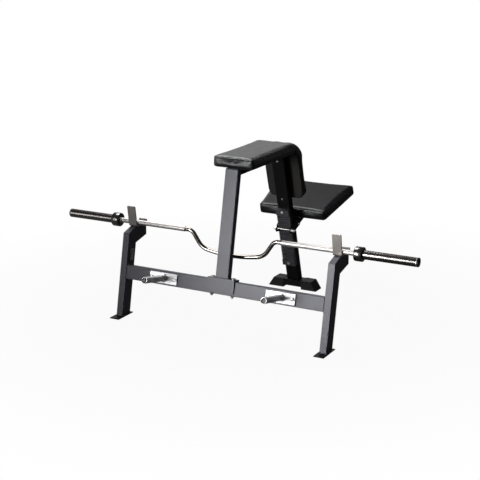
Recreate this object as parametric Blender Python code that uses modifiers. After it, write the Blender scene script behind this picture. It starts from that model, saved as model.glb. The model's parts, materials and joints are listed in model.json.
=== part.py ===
"""Seal row bench with a cambered bar, in metres, +Z up.

X runs along the bar, Y runs from the lifter's head towards the knees, Z is up.
The origin lies on the floor under the middle of the whole bench.
Y is measured from the front frame's foot and then moved back by BENCH_MIDDLE.
The front frame leans back and the rear post leans forward to meet it under the chest pad.
"""
import bpy
import bmesh
from math import asin, atan2, cos, pi, radians, sin, tan
from mathutils import Matrix, Vector

# Clearances
GAP = 0.0003
HOLE_CLEAR = 0.0003
RUN_CLEAR = 0.0005
SLIDE_CLEAR = 0.0015
POCKET_CLEAR = 0.0008

# Distance from the front frame's foot to the middle of the bench
BENCH_MIDDLE = 0.5592

# Distance between the bar's collars, and how far each one stands outside its cup
COLLAR_SPACING = 1.468
CUP_TO_COLLAR = 0.0692
CUP_WIDE = 0.052
UPRIGHT_THICK = 0.040

# Front frame, a welded tube frame that leans back and is as wide as the bar asks for
FRAME_LEAN = radians(11.4)
TUBE_WIDE = 0.080
TUBE_THIN = 0.040
BEAM_LENGTH = COLLAR_SPACING - 2 * (CUP_TO_COLLAR + CUP_WIDE / 2 + UPRIGHT_THICK / 2 + GAP)
BEAM_RISE = 0.2235
EDGE_RADIUS = 0.004

# Uprights and their horns, which carry the bar cups
UPRIGHT_DEPTH = 0.080
UPRIGHT_FRONT_TOP = 0.474
HORN_TOP = 0.4950
HORN_SLOPE_END = 0.165
HORN_BACK = 0.275
HORN_END_LOW = 0.428
HORN_ROOT = 0.403

# Foot plates under the uprights
FOOT_WIDE = 0.060
FOOT_LONG = 0.150
FOOT_FRONT = -0.052
FOOT_THICK = 0.006

# Bar cups
CUP_THICK = 0.009
CUP_FRONT = 0.1650
CUP_GUARD_HEIGHT = 0.124
CUP_GUARD_LEAN = radians(9.0)
CUP_LIP = 0.016
CUP_CORNER = 0.009

# Bare plate with four screws inside the left upright
PANEL_WIDE = 0.032
PANEL_TALL = 0.068
PANEL_THICK = 0.002
PANEL_RISE = 0.362
PANEL_BEHIND = 0.044
PANEL_SCREW_INSET = 0.006
PANEL_SCREW_RADIUS = 0.0026
PANEL_SCREW_HEAD = 0.0016

# Saddle that clamps the front post to the beam
SADDLE_LENGTH = 0.168
SADDLE_WALL = 0.008
SADDLE_TOP = 0.010
SADDLE_FRONT_DROP = 0.064
SADDLE_BACK_DROP = 0.030
SADDLE_CORNER = 0.010
SADDLE_BOLT_SPACING = 0.128

# Fasteners: shank radius, head radius across the flats, head height
M12 = (0.0060, 0.0095, 0.0080)
M10 = (0.0050, 0.0085, 0.0070)
M8 = (0.0040, 0.0065, 0.0055)
BOLT_TAIL = 0.006

# Front post and the rail under the chest pad
POST_WIDE = 0.080
POST_DEPTH = 0.040
RAIL_WIDE = 0.060
RAIL_TALL = 0.040
CHEST_BASE = 0.8955

# Pegs on the front of the beam
PEG_SPREAD = 0.366
PEG_LENGTH = 0.197
PEG_RADIUS = 0.0180
PEG_BORE = 0.0145
PEG_RECESS = 0.006
PEG_RING_RADIUS = 0.0240
PEG_RING_LENGTH = 0.015
PEG_PLATE_LONG = 0.176
PEG_PLATE_TALL = 0.060
PEG_PLATE_THICK = 0.008
PEG_BOLT_SPACING = 0.146
PEG_BOLT_DEPTH = 0.018

# Rear post, which leans forward
REAR_LEAN = radians(16.1)
REAR_FOOT_Y = 0.958
REAR_DEPTH = 0.050
REAR_WIDE = 0.080

# Rear base, set out from the post's foot; the wedge feet reach round the tube's ends
POST_SETBACK = 0.0105
BASE_TUBE_LENGTH = 0.210
BASE_TUBE_DEPTH = 0.080
BASE_TUBE_TALL = 0.040
BASE_TUBE_RISE = 0.0142
BASE_TUBE_FRONT = REAR_FOOT_Y - POST_SETBACK
FOOT_RIM = 0.0025
FOOT_SPREAD = 0.056
FOOT_TOP_SPREAD = 0.020
FOOT_OVERLAP = 0.046
FOOT_COVER = 0.0018
REAR_FOOT_HALF = BASE_TUBE_LENGTH / 2 + FOOT_SPREAD
REAR_FOOT_TOP_HALF = BASE_TUBE_LENGTH / 2 + FOOT_TOP_SPREAD
REAR_FOOT_INNER = BASE_TUBE_LENGTH / 2 - FOOT_OVERLAP
REAR_FOOT_TALL = BASE_TUBE_RISE + BASE_TUBE_TALL + FOOT_COVER
REAR_FOOT_FRONT = BASE_TUBE_FRONT - FOOT_RIM
REAR_FOOT_DEPTH = BASE_TUBE_DEPTH + 2 * FOOT_RIM

# Ratchet rack on the rear post
RACK_LOW = 0.115
RACK_WIDE = 0.084
RACK_THICK = 0.025
RACK_LAND = 0.038
TOOTH_PITCH = 0.014
TOOTH_COUNT = 22
TOOTH_DEPTH = 0.0085
RACK_BOLT_INSET = 0.016
RACK_BOLT_DEPTH = 0.020

# Cushions
PAD_THICK = 0.060
BOARD_THICK = 0.014
BOARD_INSET = 0.008
BOARD_SCREW_DEPTH = 0.010
CROWN = 0.003
SIDE_PULL = 0.003
CHEST_WIDE = 0.250
CHEST_LONG = 0.530
CHEST_FRONT = 0.187
CHEST_CORNER = 0.016
CHEST_SCREWS = (0.300, 0.610)
THIGH_WIDE = 0.236
THIGH_LONG = 0.350
THIGH_LOW = 0.545
THIGH_THICK = 0.054
THIGH_CORNER = 0.045
THIGH_TOP_CORNER = 0.080
THIGH_BOLTS = (0.563, 0.813)
SEAT_FRONT_WIDE = 0.440
SEAT_BACK_WIDE = 0.528
SEAT_LONG = 0.368
SEAT_HOLLOW = 0.024
SEAT_CORNER = 0.022
SEAT_BEHIND = 0.0355

# Seat carriage on the rear post
ROD_RISE = 0.374
ROD_RADIUS = 0.0055
ROD_LEFT = -0.066
ROD_RIGHT = 0.079
ROD_NUT_RADIUS = 0.0095
ROD_NUT_LENGTH = 0.011
CARRIAGE_WALL = 0.006
CARRIAGE_LONG = 0.300
SEAT_RISE = 0.018
MOUNT_PLATE_THICK = 0.006
MOUNT_PLATE_WIDE = 0.150
MOUNT_PLATE_LONG = 0.230
MOUNT_PLATE_START = 0.058
MOUNT_SCREW_INSET = 0.018
GUIDE_RADIUS = 0.015
GUIDE_DROP = 0.012
GUIDE_BOLT_RADIUS = 0.005
GUIDE_HALF = 0.034

# Cambered bar: thick straight grips and, between them, a thinner tube that sags in a wide bow
SHAFT_RADIUS = 0.0145
CAMBER_RADIUS = 0.0120
CAMBER_DROP = 0.1153
CAMBER_SLOPE = radians(56)
CAMBER_TOP_BEND = 0.045
CAMBER_LOW_BEND = 0.095
CAMBER_BOW = 0.850
CAMBER_BOW_HALF = 0.155
GRIP_START = 0.300
GRIP_TAPER = 0.004
BEND_STEPS = 6
COLLAR_WIDE = 0.045
COLLAR_RADIUS = 0.0395
COLLAR_BEVEL = 0.0035
SLEEVE_LENGTH = 0.350
SLEEVE_RADIUS = 0.0250
SLEEVE_BORE = 0.0180
BUSHING_CLEAR = 0.0001
CAP_THICK = 0.005
CAP_PLUG = 0.010
ROUND_STEPS = 32

PAINT = ("slate_paint", (0.055, 0.058, 0.066), 0.42, 0.55)
BLACK = ("black_paint", (0.012, 0.012, 0.013), 0.45, 0.10)
ZINC = ("zinc_steel", (0.62, 0.62, 0.63), 0.28, 1.0)
CHROME = ("bright_steel", (0.55, 0.55, 0.56), 0.20, 1.0)
CUP_STEEL = ("cup_steel", (0.40, 0.39, 0.385), 0.45, 0.9)
VINYL = ("black_vinyl", (0.018, 0.018, 0.020), 0.40, 0.0)
PLYWOOD = ("plywood", (0.40, 0.27, 0.15), 0.75, 0.0)
RUBBER = ("black_rubber", (0.020, 0.020, 0.021), 0.75, 0.0)
BRONZE = ("bronze", (0.50, 0.30, 0.12), 0.35, 1.0)
NYLON = ("nylon", (0.030, 0.030, 0.032), 0.50, 0.0)


for old in list(bpy.data.objects):
    bpy.data.objects.remove(old, do_unlink=True)

parts = bpy.data.collections.new("seal_row_bench")
cutters = bpy.data.collections.new("cutters")
bpy.context.scene.collection.children.link(parts)
bpy.context.scene.collection.children.link(cutters)


bench = bpy.data.objects.new("bench_frame", None)
bench.location = (0.0, -BENCH_MIDDLE, 0.0)
parts.objects.link(bench)


def new_empty(name, location, turn=0.0, parent=None):
    """An empty whose X stays the world's X and which is turned about it."""
    empty = bpy.data.objects.new(name, None)
    empty.location = location
    empty.rotation_euler = (turn, 0.0, 0.0)
    empty.parent = parent or bench
    parts.objects.link(empty)
    return empty


front_frame = new_empty("front_frame", (0, 0, 0), -FRAME_LEAN)
rear_foot_z = BASE_TUBE_RISE + BASE_TUBE_TALL + GAP
rear_frame = new_empty("rear_frame", (0, REAR_FOOT_Y, rear_foot_z), REAR_LEAN)


def paint(obj, finish):
    """Give the object its own Principled material."""
    label, colour, roughness, metallic = finish
    material = bpy.data.materials.new(obj.name + "_" + label)
    material.use_nodes = True
    shader = material.node_tree.nodes["Principled BSDF"]
    shader.inputs["Base Color"].default_value = (*colour, 1.0)
    shader.inputs["Roughness"].default_value = roughness
    shader.inputs["Metallic"].default_value = metallic
    obj.data.materials.clear()
    obj.data.materials.append(material)
    return obj


def place(name, bm, finish, parent=None, smooth=True):
    """Turn a bmesh into a named object in the parts collection."""
    bmesh.ops.recalc_face_normals(bm, faces=bm.faces)
    mesh = bpy.data.meshes.new(name)
    bm.to_mesh(mesh)
    bm.free()
    obj = bpy.data.objects.new(name, mesh)
    parts.objects.link(obj)
    obj.parent = parent or bench
    if smooth:
        mesh.shade_smooth()
        mesh.set_sharp_from_angle(angle=radians(35))
    return paint(obj, finish)


def bevel(obj, width=EDGE_RADIUS, segments=2):
    """Round the object's sharp edges."""
    step = obj.modifiers.new("round_edges", "BEVEL")
    step.width = width
    step.segments = segments
    step.limit_method = "ANGLE"
    step.angle_limit = radians(40)
    return obj


def add_box(bm, low, high):
    """Add a box between two corners."""
    low = Vector(low)
    high = Vector(high)
    size = high - low
    matrix = Matrix.Translation((low + high) / 2) @ Matrix.Diagonal((*size, 1.0))
    bmesh.ops.create_cube(bm, size=1.0, matrix=matrix)


def box(name, low, high, finish, parent=None, radius=EDGE_RADIUS):
    """A box with rounded edges."""
    bm = bmesh.new()
    add_box(bm, low, high)
    return bevel(place(name, bm, finish, parent), radius)


def aim(start, end):
    """Matrix that puts a unit cylinder along Z between two points."""
    start = Vector(start)
    end = Vector(end)
    turn = (end - start).to_track_quat("Z", "Y").to_matrix().to_4x4()
    return Matrix.Translation((start + end) / 2) @ turn


def add_rod(bm, start, end, radius, sides=ROUND_STEPS):
    """Add a closed cylinder between two points."""
    length = (Vector(end) - Vector(start)).length
    bmesh.ops.create_cone(bm, cap_ends=True, segments=sides, radius1=radius, radius2=radius,
                          depth=length, matrix=aim(start, end))


def new_cutter(name, fill, parent):
    """A hidden solid that Boolean modifiers use."""
    bm = bmesh.new()
    fill(bm)
    bmesh.ops.recalc_face_normals(bm, faces=bm.faces)
    mesh = bpy.data.meshes.new(name)
    bm.to_mesh(mesh)
    bm.free()
    obj = bpy.data.objects.new(name, mesh)
    obj.hide_render = True
    obj.display_type = "WIRE"
    obj.parent = parent or bench
    cutters.objects.link(obj)
    return obj


def cut(obj, tool, operation="DIFFERENCE"):
    """Boolean the tool with the object."""
    step = obj.modifiers.new(operation.lower() + "_" + tool.name, "BOOLEAN")
    step.operation = operation
    step.object = tool
    return obj


def drill(obj, label, holes, radius, parent):
    """Cut round holes, each given as a start and an end point."""
    def fill(bm):
        for start, end in holes:
            add_rod(bm, start, end, radius + HOLE_CLEAR, 20)
    return cut(obj, new_cutter(obj.name + "_" + label, fill, parent))


def flat(name, outline, half, finish, plane="YZ", parent=None, centre=0.0):
    """A flat outline, extruded by half its thickness to each side of its plane."""
    curve = bpy.data.curves.new(name + "_outline", "CURVE")
    curve.dimensions = "2D"
    curve.fill_mode = "BOTH"
    curve.extrude = half
    spline = curve.splines.new("POLY")
    spline.points.add(len(outline) - 1)
    for point, (a, b) in zip(spline.points, outline):
        point.co = (a, b, 0.0, 1.0)
    spline.use_cyclic_u = True
    source = bpy.data.objects.new(name + "_curve", curve)
    parts.objects.link(source)
    if plane == "YZ":
        source.location = (centre, 0, 0)
        source.rotation_euler = (pi / 2, 0, pi / 2)
    else:
        source.location = (0, centre, 0)
        source.rotation_euler = (pi / 2, 0, 0)
    source.parent = parent or bench
    return from_curve(name, source, finish)


def from_curve(name, source, finish):
    """Make the curve a welded mesh object of the given name, in the same place."""
    bpy.context.view_layer.update()
    evaluated = source.evaluated_get(bpy.context.evaluated_depsgraph_get())
    mesh = bpy.data.meshes.new_from_object(evaluated)
    bm = bmesh.new()
    bm.from_mesh(mesh)
    bmesh.ops.remove_doubles(bm, verts=bm.verts, dist=0.00002)
    bmesh.ops.recalc_face_normals(bm, faces=bm.faces)
    bm.to_mesh(mesh)
    bm.free()
    obj = bpy.data.objects.new(name, mesh)
    obj.parent = source.parent
    obj.matrix_world = source.matrix_world.copy()
    parts.objects.link(obj)
    bpy.data.objects.remove(source, do_unlink=True)
    mesh.shade_smooth()
    mesh.set_sharp_from_angle(angle=radians(35))
    return paint(obj, finish)


def turned(name, profile, finish, parent=None, steps=ROUND_STEPS, flip=True):
    """Spin a profile of (along X, radius) about the X axis; it closes unless it starts on the axis."""
    bm = bmesh.new()
    ring = [bm.verts.new((along, 0.0, radius)) for along, radius in profile]
    ends = ring[1:] + ring[:1] if profile[0][1] > 0 else ring[1:]
    for a, b in zip(ring, ends):
        bm.edges.new((a, b))
    mesh = bpy.data.meshes.new(name)
    bm.to_mesh(mesh)
    bm.free()
    obj = bpy.data.objects.new(name, mesh)
    parts.objects.link(obj)
    obj.parent = parent or bench
    step = obj.modifiers.new("turn", "SCREW")
    step.axis = "X"
    step.angle = 2 * pi
    step.steps = steps
    step.render_steps = steps
    step.use_merge_vertices = True
    step.merge_threshold = 0.00001
    step.use_normal_calculate = True
    step.use_normal_flip = flip
    step.use_smooth_shade = True
    return paint(obj, finish)


def bolt(name, seat, direction, length, size, finish=ZINC, parent=None, sides=6):
    """A bolt: its head stands on the seat and its shank points along the direction."""
    shank, head, height = size
    way = Vector(direction).normalized()
    foot = Vector(seat) - way * GAP
    end = Vector(seat) + way * length
    radius = head / cos(pi / 6) if sides == 6 else head
    bm = bmesh.new()
    add_rod(bm, foot - way * height, foot, radius, sides)
    obj = bevel(place(name, bm, finish, parent), 0.0008, 1)

    def fill(cutter):
        add_rod(cutter, foot - way * height * 0.5, end, shank, 16)
    return cut(obj, new_cutter(name + "_shank", fill, parent), "UNION")


def nut(name, spot, direction, size, parent=None, finish=ZINC):
    """A hexagon nut with a through hole, standing on its spot."""
    shank, head, height = size
    way = Vector(direction).normalized()
    foot = Vector(spot) + way * GAP
    bm = bmesh.new()
    add_rod(bm, foot, foot + way * height, head / cos(pi / 6), 6)
    obj = bevel(place(name, bm, finish, parent), 0.0008, 1)
    return drill(obj, "bore", [(foot - way * 0.01, foot + way * (height + 0.01))], shank, parent)


def lean_y(z):
    """Y of the front frame's front face at a height."""
    return z * tan(FRAME_LEAN)


def rear_y(z):
    """Y of the rear post's front face at a height."""
    return REAR_FOOT_Y - (z - rear_foot_z) * tan(REAR_LEAN)


def side_name(side):
    return "left" if side < 0 else "right"


# Front frame
BEAM_HALF = BEAM_LENGTH / 2
BEAM_TOP = BEAM_RISE + TUBE_WIDE
BEAM_MID = BEAM_RISE + TUBE_WIDE / 2
UPRIGHT_X = BEAM_HALF + GAP + UPRIGHT_THICK / 2
SADDLE_SURFACE = BEAM_TOP + GAP + SADDLE_TOP


def peg_bolt_spots():
    """Centres of the peg plates' bolts, as (x, along)."""
    spots = []
    for side in (-1, 1):
        for end in (-1, 1):
            spots.append((side * PEG_SPREAD + end * PEG_BOLT_SPACING / 2, BEAM_MID))
    return spots


def saddle_bolt_spots():
    return [(-SADDLE_BOLT_SPACING / 2, TUBE_THIN / 2), (SADDLE_BOLT_SPACING / 2, TUBE_THIN / 2)]


def make_beam():
    low = (-BEAM_HALF, 0, BEAM_RISE)
    high = (BEAM_HALF, TUBE_THIN, BEAM_TOP)
    beam = box("cross_beam", low, high, PAINT, front_frame)
    down = [((x, y, BEAM_RISE - 0.01), (x, y, BEAM_TOP + 0.01)) for x, y in saddle_bolt_spots()]
    drill(beam, "saddle_holes", down, M12[0], front_frame)
    depth = PEG_BOLT_DEPTH + HOLE_CLEAR
    back = [((x, -0.01, z), (x, depth, z)) for x, z in peg_bolt_spots()]
    drill(beam, "peg_holes", back, M10[0], front_frame)


def make_uprights():
    tube_back = UPRIGHT_DEPTH / cos(FRAME_LEAN)
    low = FOOT_THICK + GAP
    outline = [
        (lean_y(low), low),
        (lean_y(UPRIGHT_FRONT_TOP), UPRIGHT_FRONT_TOP),
        (HORN_SLOPE_END, HORN_TOP),
        (HORN_BACK, HORN_TOP),
        (HORN_BACK, HORN_END_LOW),
        (lean_y(HORN_ROOT) + tube_back, HORN_ROOT),
        (lean_y(low) + tube_back, low),
    ]
    for side in (-1, 1):
        name = side_name(side)
        post = flat(name + "_upright", outline, UPRIGHT_THICK / 2, PAINT, centre=side * UPRIGHT_X)
        bevel(post, 0.003)
        x = side * UPRIGHT_X
        box(name + "_foot_plate", (x - FOOT_WIDE / 2, FOOT_FRONT, 0),
            (x + FOOT_WIDE / 2, FOOT_FRONT + FOOT_LONG, FOOT_THICK), PAINT, radius=0.0015)


def cup_outline():
    """Section of a bar cup: guard, tray and lip, as (y, z)."""
    low = HORN_TOP + GAP
    floor = low + CUP_THICK
    guard = CUP_THICK / cos(CUP_GUARD_LEAN)
    rise = tan(CUP_GUARD_LEAN)
    top = low + CUP_GUARD_HEIGHT
    lip_top = floor + CUP_LIP
    return [
        (CUP_FRONT, low),
        (CUP_FRONT - rise * CUP_GUARD_HEIGHT, top),
        (CUP_FRONT - rise * CUP_GUARD_HEIGHT + guard, top),
        (CUP_FRONT - rise * CUP_THICK + guard, floor),
        (HORN_BACK - CUP_THICK, floor),
        (HORN_BACK - CUP_THICK, lip_top),
        (HORN_BACK, lip_top),
        (HORN_BACK, low),
    ]


def round_corners(obj, width, heights):
    """Round the corners that a bent strip shows from the front, at the heights of its ends."""
    bm = bmesh.new()
    bm.from_mesh(obj.data)
    edges = []
    for edge in bm.edges:
        ends = [obj.matrix_world @ vert.co for vert in edge.verts]
        across = abs(ends[0].x - ends[1].x) < 1e-5
        level = [any(abs(end.z - height) < 1e-5 for height in heights) for end in ends]
        if across and all(level):
            edges.append(edge)
    bmesh.ops.bevel(bm, geom=edges, offset=width, segments=4, profile=0.5, affect="EDGES")
    bm.to_mesh(obj.data)
    bm.free()


def make_cups():
    for side in (-1, 1):
        cup = flat(side_name(side) + "_bar_cup", cup_outline(), CUP_WIDE / 2, CUP_STEEL,
                   centre=side * UPRIGHT_X)
        tops = (HORN_TOP + GAP + CUP_GUARD_HEIGHT, HORN_TOP + GAP + CUP_THICK + CUP_LIP)
        round_corners(cup, CUP_CORNER, tops)
        bevel(cup, 0.0012, 1)


def make_panel():
    """The bare plate inside the left upright."""
    face = -BEAM_HALF
    x0 = face + GAP
    half = PANEL_WIDE / 2
    tall = PANEL_TALL / 2
    low = (x0, PANEL_BEHIND - half, PANEL_RISE - tall)
    high = (x0 + PANEL_THICK, PANEL_BEHIND + half, PANEL_RISE + tall)
    panel = box("side_panel", low, high, CUP_STEEL, front_frame, 0.0006)

    def heads(bm):
        for across in (-1, 1):
            for up in (-1, 1):
                y = PANEL_BEHIND + across * (half - PANEL_SCREW_INSET)
                z = PANEL_RISE + up * (tall - PANEL_SCREW_INSET)
                end = x0 + PANEL_THICK + PANEL_SCREW_HEAD
                add_rod(bm, (x0 + PANEL_THICK / 2, y, z), (end, y, z), PANEL_SCREW_RADIUS, 12)
    cut(panel, new_cutter("side_panel_screw_heads", heads, front_frame), "UNION")


def make_saddle():
    """Bent channel over the beam, with the front post standing on it."""
    front = -GAP - SADDLE_WALL
    back = TUBE_THIN + GAP + SADDLE_WALL
    outline = [
        (front, BEAM_TOP - SADDLE_FRONT_DROP),
        (front, SADDLE_SURFACE),
        (back, SADDLE_SURFACE),
        (back, BEAM_TOP - SADDLE_BACK_DROP),
        (back - SADDLE_WALL, BEAM_TOP - SADDLE_BACK_DROP),
        (back - SADDLE_WALL, BEAM_TOP + GAP),
        (front + SADDLE_WALL, BEAM_TOP + GAP),
        (front + SADDLE_WALL, BEAM_TOP - SADDLE_FRONT_DROP),
    ]
    saddle = flat("post_saddle", outline, SADDLE_LENGTH / 2, PAINT, parent=front_frame)
    low = BEAM_TOP - SADDLE_FRONT_DROP
    corners = [(front_frame.matrix_world @ Vector((0, y, low))).z for y in (front, front + SADDLE_WALL)]
    round_corners(saddle, SADDLE_CORNER, corners)
    bevel(saddle, 0.002)
    down = [((x, y, BEAM_TOP - 0.01), (x, y, SADDLE_SURFACE + 0.01)) for x, y in saddle_bolt_spots()]
    drill(saddle, "bolt_holes", down, M12[0], front_frame)
    length = SADDLE_SURFACE - BEAM_RISE + M12[2] + BOLT_TAIL
    for x, y in saddle_bolt_spots():
        name = side_name(x) + "_saddle"
        bolt(name + "_bolt", (x, y, SADDLE_SURFACE), (0, 0, -1), length, M12, parent=front_frame)
        nut(name + "_nut", (x, y, BEAM_RISE), (0, 0, -1), M12, parent=front_frame)


def make_front_post():
    """The front post stands on the saddle and is cut level under the chest pad."""
    top = CHEST_BASE - GAP
    base = SADDLE_SURFACE + GAP
    base_front = (base * sin(FRAME_LEAN), base * cos(FRAME_LEAN))
    back_y = base_front[0] + POST_DEPTH * cos(FRAME_LEAN)
    back_z = base_front[1] - POST_DEPTH * sin(FRAME_LEAN)
    deep = POST_DEPTH / cos(FRAME_LEAN)
    outline = [base_front, (lean_y(top), top), (lean_y(top) + deep, top), (back_y, back_z)]
    bevel(flat("front_post", outline, POST_WIDE / 2, PAINT))


def make_pegs():
    plate_back = -GAP
    plate_front = plate_back - PEG_PLATE_THICK
    for side in (-1, 1):
        name = side_name(side)
        x = side * PEG_SPREAD
        low = (x - PEG_PLATE_LONG / 2, plate_front, BEAM_MID - PEG_PLATE_TALL / 2)
        high = (x + PEG_PLATE_LONG / 2, plate_back, BEAM_MID + PEG_PLATE_TALL / 2)
        plate = box(name + "_peg_plate", low, high, ZINC, front_frame, 0.0015)
        spots = [(px, pz) for px, pz in peg_bolt_spots() if px * side > 0]
        holes = [((px, plate_front - 0.01, pz), (px, 0.01, pz)) for px, pz in spots]
        drill(plate, "holes", holes, M10[0], front_frame)
        for px, pz in spots:
            place_name = "outer" if abs(px) > PEG_SPREAD else "inner"
            bolt(name + "_peg_" + place_name + "_bolt", (px, plate_front, pz), (0, 1, 0),
                 PEG_PLATE_THICK + PEG_BOLT_DEPTH, M10, parent=front_frame)
        start = plate_front - GAP
        hub = new_empty(name + "_peg_axis", (x, start, BEAM_MID), parent=front_frame)
        hub.rotation_euler = (0, 0, -pi / 2)
        lip = 0.0015
        floor = PEG_LENGTH - PEG_RECESS
        peg = [(0, 0), (0, PEG_RADIUS), (PEG_LENGTH - lip, PEG_RADIUS),
               (PEG_LENGTH, PEG_RADIUS - lip), (PEG_LENGTH, PEG_BORE), (floor, PEG_BORE), (floor, 0)]
        turned(name + "_peg", peg, CHROME, hub, 24, flip=False)
        inner = PEG_RADIUS + HOLE_CLEAR
        ring = [(0, inner), (0, PEG_RING_RADIUS), (PEG_RING_LENGTH - lip, PEG_RING_RADIUS),
                (PEG_RING_LENGTH, PEG_RING_RADIUS - lip), (PEG_RING_LENGTH, inner)]
        turned(name + "_peg_ring", ring, ZINC, hub, 24)


# Top rail and rear post
def make_rail():
    """The rail links both posts under the chest pad."""
    top = CHEST_BASE - GAP
    low = top - RAIL_TALL
    deep = POST_DEPTH / cos(FRAME_LEAN) + GAP
    outline = [
        (lean_y(low) + deep, low),
        (lean_y(top) + deep, top),
        (rear_y(top) - GAP, top),
        (rear_y(low) - GAP, low),
    ]
    rail = bevel(flat("top_rail", outline, RAIL_WIDE / 2, BLACK), 0.003)
    holes = [((0, y, low - 0.01), (0, y, top + 0.01)) for y in CHEST_SCREWS]
    drill(rail, "screw_holes", holes, M8[0], None)
    for label, y in zip(("front", "rear"), CHEST_SCREWS):
        bolt("chest_pad_" + label + "_screw", (0, y, low), (0, 0, 1), RAIL_TALL + BOARD_SCREW_DEPTH, M8)


def rear_spot(behind, along, x=0.0):
    return (x, behind, along)


def make_rear_post():
    top = CHEST_BASE - GAP
    deep = REAR_DEPTH / cos(REAR_LEAN)
    low = rear_foot_z
    outline = [
        (rear_y(low), low),
        (rear_y(top), top),
        (rear_y(top) + deep, top),
        (rear_y(low) + deep, low),
    ]
    post = bevel(flat("rear_post", outline, REAR_WIDE / 2, BLACK))
    through = [(rear_spot(-0.01, s), rear_spot(REAR_DEPTH + 0.01, s)) for s in THIGH_BOLTS]
    drill(post, "pad_holes", through, M8[0], rear_frame)
    depth = RACK_BOLT_DEPTH + HOLE_CLEAR
    blind = [(rear_spot(-0.01, s), rear_spot(depth, s)) for s in rack_bolt_heights()]
    drill(post, "rack_holes", blind, M10[0], rear_frame)
    length = REAR_DEPTH + GAP + BOARD_SCREW_DEPTH
    for label, s in zip(("lower", "upper"), THIGH_BOLTS):
        bolt("thigh_pad_" + label + "_bolt", rear_spot(0, s), (0, 1, 0), length, M8,
             parent=rear_frame, sides=16)


RACK_LONG = 2 * RACK_LAND + TOOTH_PITCH * TOOTH_COUNT
RACK_TOP = RACK_LOW + RACK_LONG


def rack_bolt_heights():
    return (RACK_LOW + RACK_BOLT_INSET, RACK_TOP - RACK_BOLT_INSET)


def make_rack():
    """Ratchet strip: each tooth has a level shelf and a slope under it."""
    back = -GAP
    crest = back - RACK_THICK
    outline = [(back, RACK_LOW), (crest, RACK_LOW), (crest, RACK_LOW + RACK_LAND)]
    shelf = TOOTH_PITCH * 0.30
    for index in range(TOOTH_COUNT):
        start = RACK_LOW + RACK_LAND + index * TOOTH_PITCH
        outline.append((crest + TOOTH_DEPTH, start + shelf))
        outline.append((crest + TOOTH_DEPTH, start + 2 * shelf))
        outline.append((crest, start + TOOTH_PITCH))
    outline += [(crest, RACK_TOP), (back, RACK_TOP)]
    rack = flat("rack_strip", outline, RACK_WIDE / 2, BLACK, parent=rear_frame)
    holes = [(rear_spot(crest - 0.01, s), rear_spot(0.01, s)) for s in rack_bolt_heights()]
    drill(rack, "bolt_holes", holes, M10[0], rear_frame)
    for label, s in zip(("lower", "upper"), rack_bolt_heights()):
        bolt("rack_" + label + "_bolt", rear_spot(crest, s), (0, 1, 0),
             RACK_THICK + GAP + RACK_BOLT_DEPTH, M10, parent=rear_frame)


def make_rear_base():
    """Cross tube with a wedge foot pushed over each end."""
    half = BASE_TUBE_LENGTH / 2
    low = (-half, BASE_TUBE_FRONT, BASE_TUBE_RISE)
    high = (half, BASE_TUBE_FRONT + BASE_TUBE_DEPTH, BASE_TUBE_RISE + BASE_TUBE_TALL)
    box("rear_cross_tube", low, high, BLACK, radius=0.003)
    middle = REAR_FOOT_FRONT + REAR_FOOT_DEPTH / 2
    for side in (-1, 1):
        outline = [(side * REAR_FOOT_INNER, 0), (side * REAR_FOOT_HALF, 0),
                   (side * REAR_FOOT_TOP_HALF, REAR_FOOT_TALL), (side * REAR_FOOT_INNER, REAR_FOOT_TALL)]
        foot = flat(side_name(side) + "_rear_foot", outline, REAR_FOOT_DEPTH / 2, RUBBER,
                    plane="XZ", centre=middle)
        bevel(foot, 0.002)

        def pocket(bm):
            start = Vector(low) - Vector((0, GAP, GAP))
            end = Vector(high) + Vector((0, GAP, GAP))
            inner = side * (REAR_FOOT_INNER - 0.01)
            outer = side * (half + GAP)
            start.x = min(inner, outer)
            end.x = max(inner, outer)
            add_box(bm, start, end)
        cut(foot, new_cutter(foot.name + "_pocket", pocket, None))


# Cushions
def inset_outline(corners, distance):
    """Move every side of a convex outline inwards; the corners run counter-clockwise."""
    moved = []
    count = len(corners)
    for index in range(count):
        before = Vector(corners[index - 1])
        here = Vector(corners[index])
        after = Vector(corners[(index + 1) % count])
        first = (here - before).normalized()
        second = (after - here).normalized()
        normal_a = Vector((-first.y, first.x))
        normal_b = Vector((-second.y, second.x))
        bisector = (normal_a + normal_b) / (1 + normal_a.dot(normal_b))
        moved.append(here + bisector * distance)
    return moved


def corner_steps(radii):
    """Points on each corner's arc: a wide corner takes more."""
    return [max(3, round(radius / 0.015)) for radius in radii]


def round_outline(corners, radii, pulls, counts, shares=(0.25, 0.75)):
    """Points round an outline: an arc at each corner and some points along each side."""
    count = len(corners)
    arcs = []
    for index in range(count):
        before = Vector(corners[index - 1])
        here = Vector(corners[index])
        after = Vector(corners[(index + 1) % count])
        first = (here - before).normalized()
        second = (after - here).normalized()
        turn = atan2(first.cross(second), first.dot(second))
        radius = radii[index]
        reach = radius * tan(turn / 2)
        start = here - first * reach
        centre = start + Vector((-first.y, first.x)) * radius
        spoke = start - centre
        last = counts[index] - 1
        turns = [Matrix.Rotation(turn * step / last, 2) for step in range(last + 1)]
        arcs.append([centre + matrix @ spoke for matrix in turns])
    points = []
    for index, corner in enumerate(arcs):
        points += corner
        start = corner[-1]
        end = arcs[(index + 1) % count][0]
        inward = Vector((-(end - start).y, (end - start).x)).normalized()
        for share in shares:
            points.append(start.lerp(end, share) + inward * pulls[index] * sin(pi * share))
    return points


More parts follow.
